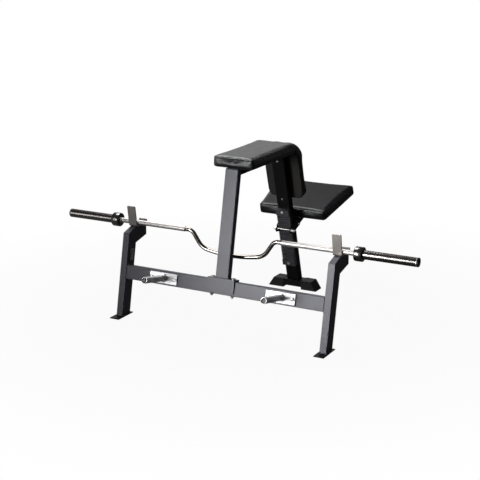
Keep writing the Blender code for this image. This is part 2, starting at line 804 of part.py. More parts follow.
def cushion(name, corners, radii, thick, hollow, parent, location=(0, 0, 0)):
    """Padded cushion on a board: crown, drawn-in sides, two sewn seams and a pocket for the board."""
    board_top = BOARD_THICK + POCKET_CLEAR
    top = thick - CROWN
    # Each ring is (inset, height, extra side pull, crease)
    rings = [
        (BOARD_INSET, board_top, 0.0, 1.0),
        (BOARD_INSET, 0.0, 0.0, 1.0),
        (0.0040, 0.0, 0.0, 0.3),
        (0.0, thick * 0.16, SIDE_PULL * 0.5, 0.0),
        (-0.0010, thick * 0.42, SIDE_PULL, 0.0),
        (0.0006, thick * 0.64, SIDE_PULL * 0.8, 0.0),
        (0.0044, thick * 0.68, SIDE_PULL * 0.6, 0.4),
        (0.0012, thick * 0.73, SIDE_PULL * 0.6, 0.0),
        (0.0040, thick * 0.85, SIDE_PULL * 0.4, 0.0),
        (0.0100, thick * 0.865, 0.0, 0.4),
        (0.0150, top * 0.965, 0.0, 0.0),
        (0.0400, top * 1.005, 0.0, 0.0),
        (0.0850, thick + CROWN * 0.4, 0.0, 0.0),
    ]
    bm = bmesh.new()
    crease = bm.edges.layers.float.new("crease_edge")
    loops = []
    for inset, height, pull, sharp in rings:
        pulls = [pull + (hollow if side == 2 else 0.0) for side in range(4)]
        inner_radii = [max(radius - inset, 0.006) for radius in radii]
        shape = round_outline(inset_outline(corners, inset), inner_radii, pulls, corner_steps(radii))
        loops.append(([bm.verts.new((p.x, p.y, height)) for p in shape], sharp))
    for (low, _), (high, _) in zip(loops, loops[1:]):
        for a in range(len(low)):
            b = (a + 1) % len(low)
            bm.faces.new((low[a], low[b], high[b], high[a]))
    bm.faces.new(loops[-1][0])
    bm.faces.new(list(reversed(loops[0][0])))
    for ring, sharp in loops:
        for a in range(len(ring)):
            edge = bm.edges.get((ring[a], ring[(a + 1) % len(ring)]))
            edge[crease] = sharp
    pad = place(name, bm, VINYL, parent)
    pad.location = location
    step = pad.modifiers.new("soft", "SUBSURF")
    step.levels = 1
    step.render_levels = 1
    return pad


def board(name, corners, radii, parent, location=(0, 0, 0)):
    """Plywood board that sits in the cushion's pocket."""
    inner = inset_outline(corners, BOARD_INSET + POCKET_CLEAR * 2.5)
    counts = [count + 1 for count in corner_steps(radii)]
    shape = [(p.x, p.y) for p in round_outline(inner, radii, [0.0] * 4, counts, ())]
    curve = bpy.data.curves.new(name + "_outline", "CURVE")
    curve.dimensions = "2D"
    curve.fill_mode = "BOTH"
    curve.extrude = BOARD_THICK / 2
    spline = curve.splines.new("POLY")
    spline.points.add(len(shape) - 1)
    for point, (x, y) in zip(spline.points, shape):
        point.co = (x, y, 0.0, 1.0)
    spline.use_cyclic_u = True
    source = bpy.data.objects.new(name + "_curve", curve)
    source.location = Vector(location) + Vector((0, 0, BOARD_THICK / 2))
    source.parent = parent or bench
    parts.objects.link(source)
    return from_curve(name, source, PLYWOOD)


def pad_sides(front_wide, back_wide, long):
    """Corners in the order front left, front right, back right, back left."""
    return [(-front_wide / 2, 0), (front_wide / 2, 0), (back_wide / 2, long), (-back_wide / 2, long)]


def make_chest_pad():
    corners = pad_sides(CHEST_WIDE, CHEST_WIDE, CHEST_LONG)
    radii = [CHEST_CORNER] * 4
    spot = (0, CHEST_FRONT, CHEST_BASE)
    cushion("chest_pad", corners, radii, PAD_THICK, 0.0, None, spot)
    plank = board("chest_pad_board", corners, radii, None, spot)
    end = CHEST_BASE + BOARD_SCREW_DEPTH + HOLE_CLEAR
    holes = [((0, y, CHEST_BASE - 0.01), (0, y, end)) for y in CHEST_SCREWS]
    drill(plank, "holes", holes, M8[0], None)


def make_thigh_pad():
    """Stands against the back of the rear post, its cushion facing the lifter's thighs."""
    corners = pad_sides(THIGH_WIDE, THIGH_WIDE, THIGH_LONG)
    radii = [THIGH_TOP_CORNER] * 2 + [THIGH_CORNER] * 2
    facing = new_empty("thigh_pad_seat", (0, REAR_DEPTH + GAP, THIGH_LOW + THIGH_LONG), parent=rear_frame)
    facing.rotation_euler = (-pi / 2, 0, 0)
    cushion("thigh_pad", corners, radii, THIGH_THICK, 0.0, facing)
    plank = board("thigh_pad_board", corners, radii, facing)
    end = REAR_DEPTH + GAP + BOARD_SCREW_DEPTH + HOLE_CLEAR
    holes = [(rear_spot(REAR_DEPTH - 0.01, s), rear_spot(end, s)) for s in THIGH_BOLTS]
    drill(plank, "holes", holes, M8[0], rear_frame)


# Seat carriage, in its own frame: origin on the latch rod's axis
ROD_BEHIND = -GAP - RACK_THICK - RUN_CLEAR - ROD_RADIUS
carriage = new_empty("seat_carriage", (0, ROD_BEHIND, ROD_RISE), parent=rear_frame)
PLATE_INNER = RACK_WIDE / 2 + SLIDE_CLEAR
PLATE_OUTER = PLATE_INNER + CARRIAGE_WALL
POST_BACK = REAR_DEPTH - ROD_BEHIND
GUIDE_BEHIND = POST_BACK + RUN_CLEAR + GUIDE_RADIUS
ARM_TOP = SEAT_RISE - GAP - MOUNT_PLATE_THICK - GAP
PAD_BEHIND = POST_BACK + SEAT_BEHIND


def carriage_outline():
    """Side plate: a nose round the rod, a lobe round the guide bolt and an arm under the seat."""
    nose = 0.016
    points = []
    for step in range(6):
        angle = radians(110 + step * 32)
        points.append((nose * cos(angle), nose * sin(angle) - 0.006))
    points.append((0.020, -0.032))
    points.append((GUIDE_BEHIND, -GUIDE_DROP - 0.016))
    points.append((GUIDE_BEHIND + 0.030, -0.018))
    points.append((CARRIAGE_LONG * 0.55, -0.016))
    points.append((CARRIAGE_LONG, ARM_TOP - 0.014))
    points.append((CARRIAGE_LONG, ARM_TOP))
    points.append((POST_BACK + 0.010, ARM_TOP))
    points.append((POST_BACK - 0.004, ARM_TOP + 0.012))
    points.append((0.012, ARM_TOP + 0.012))
    return points


def make_carriage():
    for side in (-1, 1):
        middle = side * (PLATE_INNER + PLATE_OUTER) / 2
        name = side_name(side) + "_carriage_plate"
        plate = flat(name, carriage_outline(), CARRIAGE_WALL / 2, BLACK, parent=carriage, centre=middle)
        bevel(plate, 0.0012, 1)
        rod_hole = [((middle - 0.01, 0, 0), (middle + 0.01, 0, 0))]
        drill(plate, "rod_hole", rod_hole, ROD_RADIUS, carriage)
        near = (middle - 0.01, GUIDE_BEHIND, -GUIDE_DROP)
        far = (middle + 0.01, GUIDE_BEHIND, -GUIDE_DROP)
        axle_hole = [(near, far)]
        drill(plate, "axle_hole", axle_hole, GUIDE_BOLT_RADIUS, carriage)
    bm = bmesh.new()
    add_rod(bm, (ROD_LEFT, 0, 0), (ROD_RIGHT, 0, 0), ROD_RADIUS, 20)
    bevel(place("latch_rod", bm, CHROME, carriage), 0.001, 1)
    size = (ROD_RADIUS, ROD_NUT_RADIUS, ROD_NUT_LENGTH)
    nut("left_rod_nut", (-PLATE_OUTER, 0, 0), (-1, 0, 0), size, carriage)
    long_size = (ROD_RADIUS, ROD_NUT_RADIUS, ROD_NUT_LENGTH * 2)
    nut("right_rod_nut", (PLATE_OUTER, 0, 0), (1, 0, 0), long_size, carriage)


def make_guide():
    hub = new_empty("guide_axis", (0, GUIDE_BEHIND, -GUIDE_DROP), parent=carriage)
    bore = GUIDE_BOLT_RADIUS + HOLE_CLEAR
    edge = GUIDE_RADIUS - 0.002
    profile = [(-GUIDE_HALF, bore), (-GUIDE_HALF, edge), (-GUIDE_HALF + 0.002, GUIDE_RADIUS),
               (GUIDE_HALF - 0.002, GUIDE_RADIUS), (GUIDE_HALF, edge), (GUIDE_HALF, bore)]
    turned("rear_guide", profile, NYLON, hub, 24, flip=False)
    length = 2 * PLATE_OUTER + M10[2] + BOLT_TAIL * 0.5
    bolt("guide_bolt", (PLATE_OUTER, 0, 0), (-1, 0, 0), length, M10, parent=hub)
    nut("guide_nut", (-PLATE_OUTER, 0, 0), (-1, 0, 0), M10, hub)


def make_seat():
    plate_low = SEAT_RISE - GAP - MOUNT_PLATE_THICK
    start = POST_BACK + MOUNT_PLATE_START
    half = MOUNT_PLATE_WIDE / 2
    plate = box("seat_mount_plate", (-half, start, plate_low),
                (half, start + MOUNT_PLATE_LONG, plate_low + MOUNT_PLATE_THICK), BLACK, carriage, 0.0015)
    middle = start + MOUNT_PLATE_LONG / 2
    spots = [(-half + MOUNT_SCREW_INSET, middle), (half - MOUNT_SCREW_INSET, middle)]
    end = SEAT_RISE + BOARD_SCREW_DEPTH + HOLE_CLEAR
    holes = [((x, y, plate_low - 0.01), (x, y, end)) for x, y in spots]
    drill(plate, "screw_holes", holes, M8[0], carriage)
    for x, y in spots:
        bolt(side_name(x) + "_seat_screw", (x, y, plate_low), (0, 0, 1),
             MOUNT_PLATE_THICK + GAP + BOARD_SCREW_DEPTH, M8, parent=carriage)
    corners = pad_sides(SEAT_FRONT_WIDE, SEAT_BACK_WIDE, SEAT_LONG)
    radii = [SEAT_CORNER] * 4
    spot = (0, PAD_BEHIND, SEAT_RISE)
    cushion("seat_pad", corners, radii, PAD_THICK, SEAT_HOLLOW, carriage, spot)
    board_long = SEAT_LONG - SEAT_HOLLOW
    board_wide = SEAT_FRONT_WIDE + (SEAT_BACK_WIDE - SEAT_FRONT_WIDE) * board_long / SEAT_LONG
    board_corners = pad_sides(SEAT_FRONT_WIDE, board_wide, board_long)
    plank = board("seat_board", board_corners, radii, carriage, spot)
    drill(plank, "holes", holes, M8[0], carriage)


# Cambered bar
cup_floor = HORN_TOP + GAP + CUP_THICK
BAR_Z = cup_floor + GAP + SHAFT_RADIUS
guard_back = CUP_FRONT - (BAR_Z - HORN_TOP) * tan(CUP_GUARD_LEAN) + CUP_THICK / cos(CUP_GUARD_LEAN)
BAR_Y = guard_back + (SHAFT_RADIUS + GAP * 2) / cos(CUP_GUARD_LEAN)
bar = new_empty("bar_axis", (0, BAR_Y, BAR_Z))
COLLAR_INNER = COLLAR_SPACING / 2
SHAFT_END = COLLAR_INNER + SLEEVE_LENGTH - CAP_THICK - CAP_PLUG - 2 * GAP


def arc(start, centre, turn, steps):
    """Points after the start of an arc that turns about a centre."""
    spoke = Vector(start) - Vector(centre)
    return [Vector(centre) + Matrix.Rotation(turn * step / steps, 2) @ spoke for step in range(1, steps + 1)]


def camber_points():
    """Right half of the bar's centre line, from the middle outwards, as (x, z, radius)."""
    bow_angle = asin(CAMBER_BOW_HALF / CAMBER_BOW)
    low = Vector((0.0, -CAMBER_DROP))
    line = arc(low, low + Vector((0, CAMBER_BOW)), bow_angle, 3)
    way = Vector((-sin(bow_angle), cos(bow_angle)))
    line += arc(line[-1], line[-1] + way * CAMBER_LOW_BEND, CAMBER_SLOPE - bow_angle, BEND_STEPS)
    drop = CAMBER_TOP_BEND * (1 - cos(CAMBER_SLOPE))
    climb = -line[-1].y - drop
    top = line[-1] + Vector((climb / tan(CAMBER_SLOPE), climb))
    centre = top + Vector((sin(CAMBER_SLOPE), -cos(CAMBER_SLOPE))) * CAMBER_TOP_BEND
    line += [top] + arc(top, centre, -CAMBER_SLOPE, BEND_STEPS)
    points = [(x, z, CAMBER_RADIUS) for x, z in line]
    points.append((GRIP_START, 0.0, CAMBER_RADIUS))
    points.append((GRIP_START + GRIP_TAPER, 0.0, SHAFT_RADIUS))
    points.append((SHAFT_END, 0.0, SHAFT_RADIUS))
    return points


def make_shaft():
    right = camber_points()
    middle = [(0.0, -CAMBER_DROP, CAMBER_RADIUS)]
    path = [(-x, z, radius) for x, z, radius in reversed(right)] + middle + right
    curve = bpy.data.curves.new("bar_line", "CURVE")
    curve.dimensions = "3D"
    curve.bevel_depth = SHAFT_RADIUS
    curve.bevel_resolution = 6
    curve.use_fill_caps = True
    spline = curve.splines.new("POLY")
    spline.points.add(len(path) - 1)
    for point, (x, z, radius) in zip(spline.points, path):
        point.co = (x, 0.0, z, 1.0)
        point.radius = radius / SHAFT_RADIUS
    source = bpy.data.objects.new("bar_curve", curve)
    source.parent = bar
    parts.objects.link(source)
    from_curve("bar_shaft", source, CHROME)


def make_bar_end(side):
    """Collared sleeve, bushing and cap of one end, turned about the bar."""
    name = side_name(side)
    hub = new_empty(name + "_sleeve_axis", (side * COLLAR_INNER, 0, 0), parent=bar)
    hub.rotation_euler = (0, 0, 0 if side > 0 else pi)
    chamfer = 0.0015
    sleeve = [(0, SLEEVE_BORE), (0, COLLAR_RADIUS - COLLAR_BEVEL), (COLLAR_BEVEL, COLLAR_RADIUS),
              (COLLAR_WIDE - COLLAR_BEVEL, COLLAR_RADIUS), (COLLAR_WIDE, COLLAR_RADIUS - COLLAR_BEVEL),
              (COLLAR_WIDE, SLEEVE_RADIUS), (SLEEVE_LENGTH - chamfer, SLEEVE_RADIUS),
              (SLEEVE_LENGTH, SLEEVE_RADIUS - chamfer), (SLEEVE_LENGTH, SLEEVE_BORE)]
    turned(name + "_sleeve", sleeve, CHROME, hub, flip=False)
    inner = SHAFT_RADIUS + BUSHING_CLEAR
    last = SHAFT_END - COLLAR_INNER
    ring = [(last, inner), (last, SLEEVE_BORE - GAP), (GAP, SLEEVE_BORE - GAP), (GAP, inner)]
    turned(name + "_bushing", ring, BRONZE, hub)
    bm = bmesh.new()
    start = SLEEVE_LENGTH - CAP_THICK - CAP_PLUG
    add_rod(bm, (start, 0, 0), (SLEEVE_LENGTH, 0, 0), SLEEVE_BORE - GAP * 2)
    bevel(place(name + "_end_cap", bm, RUBBER, hub), 0.001, 1)


make_beam()
make_uprights()
make_cups()
make_panel()
make_saddle()
make_front_post()
make_pegs()
make_rail()
make_rear_post()
make_rack()
make_rear_base()
make_chest_pad()
make_thigh_pad()
make_carriage()
make_guide()
make_seat()
make_shaft()
make_bar_end(-1)
make_bar_end(1)
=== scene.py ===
# %% [markdown]
# # Dressing a seal row bench
# The bench's solids already exist as a fixed frame of named pieces, and each one moves with its body.
# This lesson gives them their finishes and replaces the pieces whose form needs more than a plain solid:
# the sewn cushions, the bent bar, its sleeves, the bar cups, the pegs and the bolts.
# Everything is in metres, with the bar along X and the lifter lying along Y.

# %% Load the frame
import json
from math import asin, cos, pi, radians, sin, tan

import bpy
from mathutils import Matrix, Vector
from mathutils.bvhtree import BVHTree

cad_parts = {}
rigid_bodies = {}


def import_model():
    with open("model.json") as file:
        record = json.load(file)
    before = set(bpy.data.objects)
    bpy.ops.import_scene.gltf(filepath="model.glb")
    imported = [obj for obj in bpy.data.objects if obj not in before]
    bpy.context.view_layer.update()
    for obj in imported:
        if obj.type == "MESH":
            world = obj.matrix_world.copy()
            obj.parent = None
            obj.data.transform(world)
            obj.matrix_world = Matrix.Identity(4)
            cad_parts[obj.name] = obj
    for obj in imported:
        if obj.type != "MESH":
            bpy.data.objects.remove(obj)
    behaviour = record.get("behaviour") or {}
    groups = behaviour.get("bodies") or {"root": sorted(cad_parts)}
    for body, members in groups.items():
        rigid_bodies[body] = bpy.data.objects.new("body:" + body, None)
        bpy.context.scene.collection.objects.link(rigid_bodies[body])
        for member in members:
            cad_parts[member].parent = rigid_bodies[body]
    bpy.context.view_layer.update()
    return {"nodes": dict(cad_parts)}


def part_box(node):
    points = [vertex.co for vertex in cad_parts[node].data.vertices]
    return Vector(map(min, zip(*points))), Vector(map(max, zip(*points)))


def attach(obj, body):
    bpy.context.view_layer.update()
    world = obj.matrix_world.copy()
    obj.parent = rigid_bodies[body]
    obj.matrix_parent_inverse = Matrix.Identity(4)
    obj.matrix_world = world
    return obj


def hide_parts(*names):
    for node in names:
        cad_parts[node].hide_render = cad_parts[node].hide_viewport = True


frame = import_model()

nodes = frame["nodes"]

# %% [markdown]
# ## Two leaning frames
# The front frame leans back and the rear post leans forward. A place on either is easiest to give along
# the lean: across, behind its front face and up. One matrix for each turns it into the room's axes.

# %% Places on the leaning frames
MIDDLE = 0.5592
FRONT_LEAN = radians(11.4)
REAR_LEAN = radians(16.1)
REAR_FOOT = (0.958 - MIDDLE, 0.0545)
front_turn = Matrix.Translation((0, -MIDDLE, 0)) @ Matrix.Rotation(-FRONT_LEAN, 4, "X")
rear_turn = Matrix.Translation((0, *REAR_FOOT)) @ Matrix.Rotation(REAR_LEAN, 4, "X")
print("leaning frames start at", front_turn.to_translation(), "and", rear_turn.to_translation())

# %% [markdown]
# ## Camera
# A product photograph like this one is taken from a few metres away with a long lens, which keeps the
# upright lines nearly parallel. The camera stands to the right of the front at a little over 15 degrees.

# %% Camera
AZIMUTH = radians(28.36)
ELEVATION = radians(15.60)
DISTANCE = 6.511
TARGET = Vector((0.0932, 0.1 - MIDDLE, 0.528))
FOCAL_PIXELS = 1204.5
PICTURE = 480


def link(thing):
    """Add an object to the scene."""
    bpy.context.scene.collection.objects.link(thing)


toward = Vector((sin(AZIMUTH) * cos(ELEVATION), -cos(AZIMUTH) * cos(ELEVATION), sin(ELEVATION)))
lens = bpy.data.cameras.new("view")
lens.sensor_width = 36.0
lens.lens = FOCAL_PIXELS / PICTURE * lens.sensor_width
lens.clip_end = 200.0
camera = bpy.data.objects.new("view", lens)
camera.location = TARGET + toward * DISTANCE
camera.rotation_euler = (-toward).to_track_quat("-Z", "Y").to_euler()
link(camera)
bpy.context.scene.camera = camera
bpy.context.scene.view_settings.view_transform = "Standard"
print("lens in mm", round(lens.lens, 1))

# %% [markdown]
# ## Colours and nodes
# Colours are picked as sRGB hex values, as in a paint program, and shaders want linear light, so one
# function converts them. A second one sets and links a node's sockets, a third adds a node, and each
# material is then a short list of such calls.

# %% Colour and node helpers
def linear(code):
    """Linear RGBA of an sRGB hex colour."""
    values = [int(code[i:i + 2], 16) / 255 for i in (1, 3, 5)]
    return [v / 12.92 if v <= 0.04045 else ((v + 0.055) / 1.055) ** 2.4 for v in values] + [1.0]


def wire(node, **sockets):
    """Give each named socket of a node a value, or link another node's output to it."""
    for key, value in sockets.items():
        socket = node.inputs[int(key[1:]) if key[0] == "_" else key.replace("_", " ")]
        if isinstance(value, bpy.types.NodeSocket):
            node.id_data.links.new(value, socket)
        else:
            socket.default_value = value


def put(tree, kind, settings=None, **sockets):
    """Add a node with its settings and sockets."""
    node = tree.nodes.new("ShaderNode" + kind)
    for key, value in (settings or {}).items():
        setattr(node, key, value)
    wire(node, **sockets)
    return node


def new_material(name):
    """An empty material, its node tree and its Principled shader."""
    material = bpy.data.materials.new(name)
    material.use_nodes = True
    tree = material.node_tree
    return material, tree, tree.nodes["Principled BSDF"]


# %% [markdown]
# ## Room
# The bench stands on a plain white floor, and a curved white backdrop closes the room behind it. To the
# eye both glow an even white. Near the bench a little of the floor is plain paint, so that it still
# takes the soft shadows of the feet. In mirrors the floor is much dimmer, and everything fades to the
# right, as if a dark screen stood there, which keeps the faces on that side black as in the photograph.
# The black covers need the backdrop: seen almost edge-on, they are only as bright as what they mirror.

# %% White studio paint
TIMES = {"operation": "MULTIPLY"}
RIGHT_SHARE = 0.12      # of the mirrored glow, left at the far right
SCREEN = (-2.5, 0.5)    # where along X the mirrored glow fades
SHADOW = (0.9, 2.4)     # how far from the bench the plain paint fades out


def glowing_paint(name, near, mirrored):
    """White studio paint that glows for the eye and, dimmer, in mirrors; its near parts keep a shadow."""
    material, tree, shader = new_material(name)
    wire(shader, Base_Color=linear("#4c4c4c"), Roughness=0.9, Specular_IOR_Level=0.0)
    rays = put(tree, "LightPath")
    eye, gloss, glass = [rays.outputs["Is %s Ray" % kind] for kind in ("Camera", "Glossy", "Transmission")]
    place = put(tree, "TexCoord").outputs["Object"]
    across = put(tree, "SeparateXYZ", _0=place).outputs["X"]
    screen = put(tree, "MapRange", Value=across, From_Min=SCREEN[0], From_Max=SCREEN[1], To_Min=mirrored,
                 To_Max=mirrored * RIGHT_SHARE)
    dimmer = put(tree, "Math", TIMES, _0=gloss, _1=screen.outputs[0])
    seen = put(tree, "Math", {"operation": "MAXIMUM"}, _0=eye, _1=dimmer.outputs[0])
    seen = put(tree, "Math", {"operation": "MAXIMUM"}, _0=seen.outputs[0], _1=glass)
    away = put(tree, "VectorMath", {"operation": "LENGTH"}, _0=place).outputs["Value"]
    amount = put(tree, "MapRange", Value=away, From_Min=SHADOW[0], From_Max=SHADOW[1], To_Min=near)
    share = put(tree, "Math", TIMES, _0=seen.outputs[0], _1=amount.outputs[0])
    glow = put(tree, "Emission", Color=linear("#ffffff"), Strength=1.0)
    mixed = put(tree, "MixShader", _0=share.outputs[0], _1=shader.outputs[0], _2=glow.outputs[0])
    wire(tree.nodes["Material Output"], Surface=mixed.outputs[0])
    return material


floor_white = glowing_paint("white_floor_paint", near=0.95, mirrored=0.17)
backdrop_white = glowing_paint("white_backdrop_paint", near=1.0, mirrored=1.0)
print("paints", floor_white.name, backdrop_white.name)

# %% Floor and backdrop
clear = bpy.ops.object.select_all


def edit_all():
    """Open the active mesh in edit mode with all of its points selected."""
    bpy.ops.object.mode_set(mode="EDIT")
    bpy.ops.mesh.select_mode(type="VERT")
    bpy.ops.mesh.select_all(action="SELECT")


def extrude(x, y, z):
    """Extrude the selection straight on."""
    bpy.ops.mesh.extrude_region_move(TRANSFORM_OT_translate={"value": (x, y, z)})


clear(action="DESELECT")
bpy.ops.mesh.primitive_circle_add(vertices=64, radius=60, fill_type="NGON", location=(0, 0, -0.0005))
floor = bpy.context.object
floor.name = "floor"
floor.data.materials.append(floor_white)

clear(action="DESELECT")
bpy.ops.mesh.primitive_circle_add(vertices=96, radius=9.0, location=(0, 0, 0))
backdrop = bpy.context.object
backdrop.name = "backdrop"
edit_all()
extrude(0, 0, 6.0)
bpy.ops.mesh.select_all(action="SELECT")
bpy.ops.mesh.bisect(plane_co=(0, 5.0, 0), plane_no=(0.15, 1, 0), clear_inner=True)
bpy.ops.object.mode_set(mode="OBJECT")
backdrop.data.materials.append(backdrop_white)
print("room", floor.name, backdrop.name)

# %% [markdown]
# ## Lamps
# A square soft box stands in front and to the left. Its left edge ends where the left upright would
# mirror it, so the paint is brighter on the right, as in the photograph, and right-hand faces stay dark.
# A narrow strip further left draws the bright line on the left sleeve. One box hangs over the bench and
# lights the tops, and a weak one behind shows the back. The sky is white to the eye but gives little light.

# %% Lamps and sky
def soft_box(name, place, target, size, power, spread):
    """A rectangular area lamp that faces a point, its beam narrowed by a grid to some degrees."""
    lamp = bpy.data.lights.new(name, "AREA")
    lamp.shape = "RECTANGLE"
    lamp.size, lamp.size_y = size
    lamp.energy = power
    lamp.spread = radians(spread)
    box = bpy.data.objects.new(name, lamp)
    box.visible_camera = False
    box.location = place
    box.rotation_euler = (Vector(target) - Vector(place)).to_track_quat("-Z", "Y").to_euler()
    link(box)


# Name, place, target, width and height, watts, and the spread in degrees
soft_box("top_box", (-1.3, 0.5, 3.3), (0, -0.1, 0.5), (1.4, 1.4), 46, 130)
soft_box("front_box", (-0.95, -3.4, 0.95), (0.72, -0.4, 0.45), (1.4, 1.4), 13.5, 40)
soft_box("left_strip", (-3.1, -3.4, 1.1), (-0.9, -0.4, 0.5), (0.4, 1.6), 2, 60)
soft_box("back_box", (-0.5, 4.2, 1.7), (0, 0, 0.5), (1.6, 1.2), 9, 150)

SKY_LIGHT = 0.09    # what the white sky gives to the bench
world = bpy.data.worlds.new("studio")
bpy.context.scene.world = world
world.use_nodes = True
tree = world.node_tree
eye = put(tree, "LightPath").outputs["Is Camera Ray"]
strength = put(tree, "MapRange", Value=eye, To_Min=SKY_LIGHT, To_Max=1.0)
wire(tree.nodes["Background"], Color=linear("#ffffff"), Strength=strength.outputs[0])

# %% [markdown]
# ## Powder coat
# The frame's tubes are sprayed with dry powder and baked. The melt leaves a fine ripple like the skin of
# an orange, about 2 mm from bump to bump, and a half-gloss shine. The front frame is slate grey and the
# rear one black. Handling leaves the shine a little uneven, so the roughness drifts over a hand's width.
# The toothed rack is not painted but blackened, which is duller in colour and a little more metallic.

# %% Powder coats
COLOURS = {"data_type": "RGBA"}


def powder_coat(name, code, dark, shine, level=0.10):
    """Baked powder paint: slight change of shade, uneven gloss and a fine ripple."""
    material, tree, shader = new_material(name)
    place = put(tree, "TexCoord").outputs["Object"]
    drift = put(tree, "TexNoise", Vector=place, Scale=9.0, Detail=3.0, Roughness=0.6)
    shade = put(tree, "Mix", COLOURS, _0=drift.outputs["Fac"], _6=linear(dark), _7=linear(code))
    gloss = put(tree, "MapRange", Value=drift.outputs["Fac"], To_Min=shine - 0.05, To_Max=shine + 0.07)
    ripple = put(tree, "TexNoise", Vector=place, Scale=500.0, Detail=2.0, Roughness=0.5)
    bump = put(tree, "Bump", Strength=0.10, Distance=0.0004, Height=ripple.outputs["Fac"])
    wire(shader, Base_Color=shade.outputs[2], Roughness=gloss.outputs[0], Normal=bump.outputs[0], IOR=1.5,
         Specular_IOR_Level=level)
    return material


slate = powder_coat("slate_powder_coat", "#4c4c54", "#45454c", 0.42, 0.24)
black = powder_coat("black_powder_coat", "#141416", "#0f0f11", 0.45)
phosphate = powder_coat("black_phosphate", "#4a4a4e", "#38383b", 0.40, 0.5)
print("made", slate.name, black.name, "and", phosphate.name)

# %% [markdown]
# ## Bright metals
# Small hardware is steel with a thin zinc plating, silver with a faint cool cloudiness, and the plates
# behind the pegs are a duller grade of it. The sleeves and the bends of the bar are chrome plated, which
# is smoother and darker in its reflections. The cups are bent from stainless flat bar whose rolled face
# is satin and finely streaked along its length.

# %% Zinc, chrome and satin steel
def plated(name, code, cloudy, low, high, scale):
    """Plated steel: cloudy colour and roughness over a fairly smooth surface."""
    material, tree, shader = new_material(name)
    place = put(tree, "TexCoord").outputs["Object"]
    cloud = put(tree, "TexNoise", Vector=place, Scale=scale, Detail=4.0, Roughness=0.65)
    shade = put(tree, "Mix", COLOURS, _0=cloud.outputs["Fac"], _6=linear(cloudy), _7=linear(code))
    gloss = put(tree, "MapRange", Value=cloud.outputs["Fac"], To_Min=low, To_Max=high)
    wire(shader, Base_Color=shade.outputs[2], Roughness=gloss.outputs[0], Metallic=1.0)
    return material


zinc = plated("bright_zinc_plate", "#d6d6d7", "#bcbcbe", 0.34, 0.48, 60.0)
dull_zinc = plated("dull_zinc_plate", "#dcdcdc", "#b4b4b6", 0.48, 0.62, 42.0)
chrome = plated("chrome_plate", "#7e7a76", "#726e6a", 0.14, 0.22, 14.0)
# The sleeves take a darker chrome than the bends; the extra darkness is painted shade, for a dimmer mirror
# of the white room.
sleeve_chrome_with_painted_shade = plated("chrome_plate_with_painted_shade", "#74716f", "#696664", 0.20, 0.28, 20.0)

satin, tree, shader = new_material("satin_stainless_bar")
place = put(tree, "TexCoord").outputs["Object"]
along = put(tree, "Mapping", Vector=place, Scale=(900.0, 60.0, 18.0))
streak = put(tree, "TexNoise", Vector=along.outputs[0], Scale=1.0, Detail=3.0)
shade = put(tree, "Mix", COLOURS, _0=streak.outputs["Fac"], _6=linear("#9c9793"), _7=linear("#b8b3ae"))
rough = put(tree, "MapRange", Value=streak.outputs["Fac"], To_Min=0.34, To_Max=0.52)
wire(shader, Base_Color=shade.outputs[2], Roughness=rough.outputs[0], Metallic=1.0)
print("metals", zinc.name, chrome.name, satin.name)

# %% [markdown]
# ## Knurled grips
# Two crossing sets of grooves, pressed in with a pair of rollers, make small diamonds on the grips. They
# are 1.2 mm apart on the real bar and drawn at 1.6 mm, so that they show. The angle round the bar comes
# from an arctangent, since the pattern has to close on itself. Many small facets scatter the light, so
# the grips look much paler than the polished bends.

# %% Knurled steel
BAR_AT = (0.0, -0.373617, 0.5191)
GRIP_RADIUS = 0.0145
DIAMOND = 0.0016
knurled, tree, shader = new_material("knurled_chrome")
place = put(tree, "Mapping", Vector=put(tree, "TexCoord").outputs["Object"], Location=[-c for c in BAR_AT])
axes = put(tree, "SeparateXYZ", Vector=place.outputs[0])
turn = put(tree, "Math", {"operation": "ARCTAN2"}, _0=axes.outputs["Z"], _1=axes.outputs["Y"])
diamonds_round = round(2 * pi * GRIP_RADIUS / DIAMOND)
round_it = put(tree, "Math", TIMES, _0=turn.outputs[0], _1=diamonds_round)
along = put(tree, "Math", TIMES, _0=axes.outputs["X"], _1=2 * pi / DIAMOND)
waves = []
for operation in ("ADD", "SUBTRACT"):
    slant = put(tree, "Math", {"operation": operation}, _0=along.outputs[0], _1=round_it.outputs[0])
    waves.append(put(tree, "Math", {"operation": "SINE"}, _0=slant.outputs[0]).outputs[0])
diamonds = put(tree, "Math", TIMES, _0=waves[0], _1=waves[1])
bump = put(tree, "Bump", Strength=0.35, Distance=0.0003, Height=diamonds.outputs[0])
shade = put(tree, "MapRange", Value=diamonds.outputs[0], From_Min=-1.0, To_Min=0.42, To_Max=0.56)
wire(shader, Normal=bump.outputs[0], Roughness=shade.outputs[0], Base_Color=linear("#c4c1bf"),
     Metallic=1.0)
print("knurl of", diamonds_round, "diamonds round the grip")

# %% [markdown]
# ## Small plain finishes
# The boards are birch plywood under a black stain, through which the grain shows. Feet and caps are
# moulded rubber, the bushings are sintered bronze, and the guide roll and the plugs in the pegs are
# nylon. They show little, mostly from below, but each has its own grain.

# %% Plywood, rubber, bronze and nylon
plywood, tree, shader = new_material("black_stained_plywood")
place = put(tree, "TexCoord").outputs["Object"]
grain_place = put(tree, "Mapping", Vector=place, Scale=(3.0, 40.0, 40.0))
grain = put(tree, "TexNoise", Vector=grain_place.outputs[0], Scale=3.0, Detail=6.0, Roughness=0.6,
            Distortion=0.6)
shade = put(tree, "Mix", COLOURS, _0=grain.outputs["Fac"], _6=linear("#121110"), _7=linear("#221f1c"))
wire(shader, Base_Color=shade.outputs[2], Roughness=0.75)


def moulded(name, code, roughness, grit):
    """Moulded rubber or plastic with a fine spark-eroded grit."""
    material, tree, shader = new_material(name)
    place = put(tree, "TexCoord").outputs["Object"]
    speck = put(tree, "TexNoise", Vector=place, Scale=grit, Detail=2.0)
    bump = put(tree, "Bump", Strength=0.15, Distance=0.0003, Height=speck.outputs["Fac"])
    wire(shader, Normal=bump.outputs[0], Base_Color=linear(code), Roughness=roughness,
         Specular_IOR_Level=0.3)
    return material


